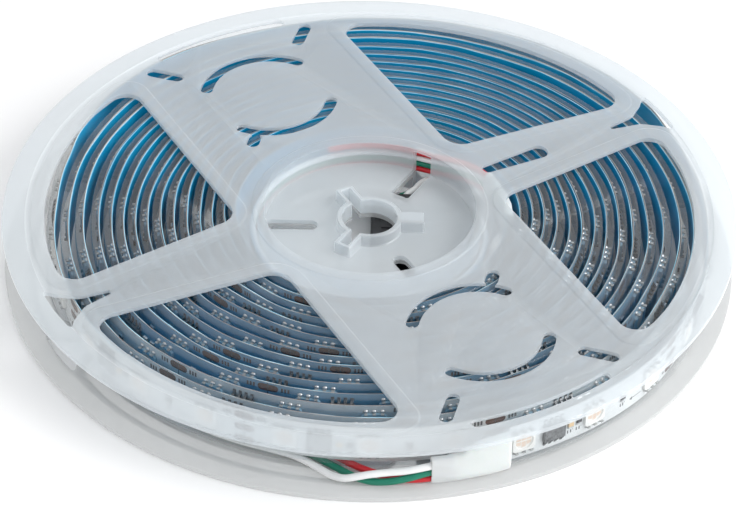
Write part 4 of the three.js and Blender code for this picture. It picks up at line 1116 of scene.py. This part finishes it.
OUTER = {
    "white": [polar(85.7, -74.6, 7.2), polar(85.9, -77.5, 7.1), polar(86.0, -80.3, 6.6), polar(85.9, -83.5, 5.75),
              polar(85.6, -86.7, 5.1), polar(85.6, -89.3, 4.55), polar(85.7, -91.1, 3.95), polar(85.5, -93.0, 3.1),
              polar(84.2, -95.0, 2.42), polar(82.6, -96.7, 2.33), polar(80.7, -98.9, 2.33), polar(78.9, -102.0, 2.33),
              polar(78.2, -106.0, 2.33), polar(78.1, -111.0, 2.33), polar(78.1, -116.0, 2.33), polar(78.1, -121.0, 2.33)],
    "green": [polar(85.7, -74.6, 5.35), polar(85.9, -77.5, 5.3), polar(86.0, -80.3, 4.8), polar(86.3, -83.2, 3.9),
              polar(86.3, -86.3, 3.0), polar(85.5, -89.1, 2.4), polar(83.9, -91.6, 2.33), polar(81.8, -94.0, 2.33),
              polar(79.6, -96.6, 2.33), polar(77.6, -99.6, 2.33), polar(76.4, -103.4, 2.33), polar(76.1, -108.0, 2.33),
              polar(76.1, -113.0, 2.33), polar(76.1, -118.0, 2.33)],
    "red": [polar(85.7, -74.6, 3.5), polar(85.9, -77.5, 3.4), polar(85.7, -80.3, 2.8), polar(85.1, -83.2, 2.35),
            polar(84.0, -86.0, 2.33), polar(82.4, -88.8, 2.33), polar(80.4, -91.4, 2.33), polar(78.2, -94.0, 2.33),
            polar(76.1, -97.0, 2.33), polar(74.6, -100.6, 2.33), polar(74.1, -105.0, 2.33), polar(74.1, -110.0, 2.33),
            polar(74.1, -115.0, 2.33)],
}
COLOUR = {"white": M_W, "green": M_G, "red": M_RD}
LEAD_D, INNER_D = 1.7, 1.5
for k in ("white", "green", "red"):
    o, path, length = tube("outer_lead_%s_wire" % k, OUTER[k], LEAD_D, COLOUR[k])
    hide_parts("outer_lead_" + k)

IN_AZ = 60 + 360 * TURNS_END
Z_IN = {"power": 12.05, "white": 10.43, "green": 8.81, "red": 7.19}
DROP = 4.9


def inner_route(z):
    c = IN_AZ + 24.2
    return [polar(33.78, c - 4.5, z), polar(33.68, c, z), polar(33.85, c + 6.0, z), polar(33.5, c + 12, z),
            polar(32.4, c + 19, z), polar(30.7, c + 27, z), polar(29.3, c + 35, z)]


def inner_lead(z, plug):
    out = inner_route(z)
    for a_ in range(66, 403, 12):
        f_ = max(0, (a_ - 66) / 336)
        out.append(polar(28.72, a_, z - DROP * f_))
    zl = z - DROP
    out += [polar(28.72, 410, zl), polar(28.5, 414.8, zl), polar(27.9, 417.5, zl), polar(26.7, 419.5, zl - 0.1), polar(25.2, 420.6, zl - 0.35)]
    return out + plug


INNER = {
    "power": inner_route(Z_IN["power"]) + [polar(28.75, 66, Z_IN["power"]), polar(28.72, 76, Z_IN["power"]),
                                           polar(28.72, 88, Z_IN["power"]), polar(28.72, 100, Z_IN["power"]), polar(28.72, 112, Z_IN["power"])],
    "white": inner_lead(Z_IN["white"], [(11.2, 20.2, 5.0), (9.3, 18.6, 4.5), (8.6, 17.45, 4.2)]),
    "green": inner_lead(Z_IN["green"], [(10.4, 20.5, 3.6), (7.4, 19.0, 3.4), (6.0, 17.45, 3.2)]),
    "red": inner_lead(Z_IN["red"], [(10.2, 20.9, 2.0), (5.9, 19.7, 2.0), (3.4, 17.45, 2.2)]),
}
for k in ("power", "white", "green", "red"):
    o, path, length = tube("inner_lead_%s_wire" % k, INNER[k], INNER_D, COLOUR.get(k, M_RD), step=0.9)
    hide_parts("inner_lead_" + k)
    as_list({"power": [], "white": [NODES["connector_pin_3"]], "green": [NODES["connector_pin_2"]],
                         "red": [NODES["connector_housing"], NODES["connector_pin_1"]]}[k])


def soft_sleeve(name, stations, wall, depth, replaced):
    """A moulded silicone end: open at the first station, closed at the last.
    Each station is (azimuth, radius, half thickness, z low, z high, squareness)."""
    st = np.array(stations, float)
    k = np.linspace(0, 1, 34)
    x = np.linspace(0, 1, len(st))
    def at(c):
        # smooth steps between the stations
        i = np.clip((k * (len(st) - 1)).astype(int), 0, len(st) - 2)
        u = k * (len(st) - 1) - i
        u = u * u * (3 - 2 * u) if c in (2, 3, 4, 5) else u
        return st[i, c] * (1 - u) + st[i + 1, c] * u
    az, r, hw, z0, z1, sq = [at(c) for c in range(6)]
    m = 44
    q = np.arange(m) / m * 2 * math.pi
    rings = []
    def ring(az_, r_, w_, zc_, h_, n_, sway=0.0):
        c, s_ = np.cos(q), np.sin(q)
        ex = 2 / n_
        dx = w_ * np.sign(c) * np.abs(c) ** ex
        dz = h_ * np.sign(s_) * np.abs(s_) ** ex
        dx = dx + sway * np.sin(2.2 * dz + az_) * (c > 0)
        a = math.radians(az_)
        return [((r_ + d) * math.cos(a), (r_ + d) * math.sin(a), zc_ + e) for d, e in zip(dx, dz)]
    zc, hh = (z0 + z1) / 2, (z1 - z0) / 2
    way = 1 if az[-1] > az[0] else -1
    # inside of the mouth, from its floor outwards
    for f_ in (1.0, 0.5, 0.06):
        rings.append(ring(az[0] + way * depth * f_, r[0], hw[0] - wall, zc[0], hh[0] - wall, sq[0]))
    rings.append(ring(az[0], r[0], hw[0] - wall * 0.75, zc[0], hh[0] - wall * 0.75, sq[0]))
    rings.append(ring(az[0] - way * 0.04, r[0], hw[0] - wall * 0.4, zc[0], hh[0] - wall * 0.4, sq[0]))
    rings.append(ring(az[0] + way * 0.02, r[0], hw[0] - wall * 0.1, zc[0], hh[0] - wall * 0.1, sq[0]))
    for i in range(len(k)):
        a_ = az[i] + (way * 0.12 if i == 0 else 0)
        rings.append(ring(a_, r[i], hw[i], zc[i], hh[i], sq[i], 0.05))
    for g_, e_ in ((0.10, 0.10), (0.22, 0.32)):
        rings.append(ring(az[-1] + way * g_, r[-1], hw[-1] - e_, zc[-1], hh[-1] - e_, sq[-1]))
    verts = [v for rg in rings for v in rg]
    faces = [tuple(range(m))]
    for j in range(len(rings) - 1):
        a_, b_ = j * m, (j + 1) * m
        for i in range(m):
            i2 = (i + 1) % m
            faces.append((a_ + i, a_ + i2, b_ + i2, b_ + i))
    last = (len(rings) - 1) * m
    faces.append(tuple(range(last + m - 1, last - 1, -1)))
    o = build(name, verts, faces, [M_SLEEVE], True, 50)
    bm = bmesh.new()
    bm.from_mesh(o.data)
    bmesh.ops.recalc_face_normals(bm, faces=bm.faces)
    bm.to_mesh(o.data)
    bm.free()
    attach(o, "root"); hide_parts(*replaced)
    return o


soft_sleeve("outer_end_soft", [(-79.9, 85.75, 1.42, 1.68, 8.95, 2.7), (-77.9, 85.85, 1.36, 1.62, 9.0, 2.9), (-75.9, 85.85, 1.34, 1.62, 9.3, 3.2),
                               (-74.0, 85.8, 1.33, 1.65, 10.6, 3.8), (-72.0, 85.7, 1.30, 1.66, 11.6, 4.6), (-69.6, 85.5, 1.32, 1.68, 11.8, 5.5),
                               (-67.45, 85.3, 1.30, 1.70, 11.8, 6.0)], 0.35, 3.4, ["outer_end_cap", "outer_sleeve"])
soft_sleeve("inner_end_soft", [(IN_AZ + 30.6, 33.9, 1.35, 5.85, 13.4, 2.7), (IN_AZ + 26.0, 33.9, 1.33, 5.85, 13.4, 2.9), (IN_AZ + 21.0, 33.95, 1.32, 5.6, 13.4, 3.2),
                               (IN_AZ + 17.0, 34.1, 1.30, 4.2, 13.35, 3.8), (IN_AZ + 9.0, 34.25, 1.28, 3.3, 13.3, 4.6), (IN_AZ + 1.3, 34.25, 1.25, 3.3, 13.25, 6.0)],
            0.25, 6.0, ["inner_end_cap", "inner_sleeve"])
for n_ in ("connector_housing",):
    o = NODES[n_]
    o.data.materials.clear(); o.data.materials.append(M_BLK)
for i in (1, 2, 3):
    o = NODES["connector_pin_%d" % i]
    o.data.materials.clear(); o.data.materials.append(M_TIN)

# ------------------------------------------------------------------ floor and light
fl, nt, b = principled("floor_white", (0.93, 0.93, 0.93), 0.75)
nz = tex_noise(nt, 2.0, 2, 0.5)
rp_ = ramp(nt, nz.outputs["Fac"], [(0.3, (0.93, 0.93, 0.935)), (0.7, (0.94, 0.94, 0.94))])
nt.links.new(rp_.outputs["Color"], b.inputs["Base Color"])
me = bpy.data.meshes.new("floor")
me.from_pydata([(-4, -4, 0), (4, -4, 0), (4, 4, 0), (-4, 4, 0)], [], [(0, 1, 2, 3)])
me.update()
floor = new_object("floor", me, fl)
floor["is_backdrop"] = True

world = bpy.data.worlds.new("world")
scene.world = world
world.use_nodes = True
bg = world.node_tree.nodes["Background"]
bg.inputs["Color"].default_value = (0.985, 0.99, 1.0, 1)
bg.inputs["Strength"].default_value = 0.86


def area_light(name, loc, aim, size, power, color=(1, 1, 1)):
    d = bpy.data.lights.new(name, "AREA")
    d.energy = power
    d.size = size
    d.color = color
    o = bpy.data.objects.new(name, d)
    scene.collection.objects.link(o)
    o.location = loc
    o.rotation_mode = "QUATERNION"
    o.rotation_quaternion = (Vector(aim) - Vector(loc)).to_track_quat("-Z", "Y")
    return o


area_light("key", (0.85, -0.10, 0.74), (0, 0, 0), 0.6, 6.6)
area_light("side", (1.05, -0.55, 0.30), (0, 0, 0.01), 0.5, 6.0)

scene.view_settings.view_transform = "Standard"
scene.view_settings.look = "None"
scene.view_settings.exposure = 0.0
scene.view_settings.gamma = 1.0

# ------------------------------------------------------------------ size and end
lo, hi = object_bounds()
({"cad": [list(CAD_BOX[0]), list(CAD_BOX[1])], "visual": [list(lo), list(hi)], "strip_length_mm": S_TOTAL * SCALE,
           "lights": len(LED_S)})
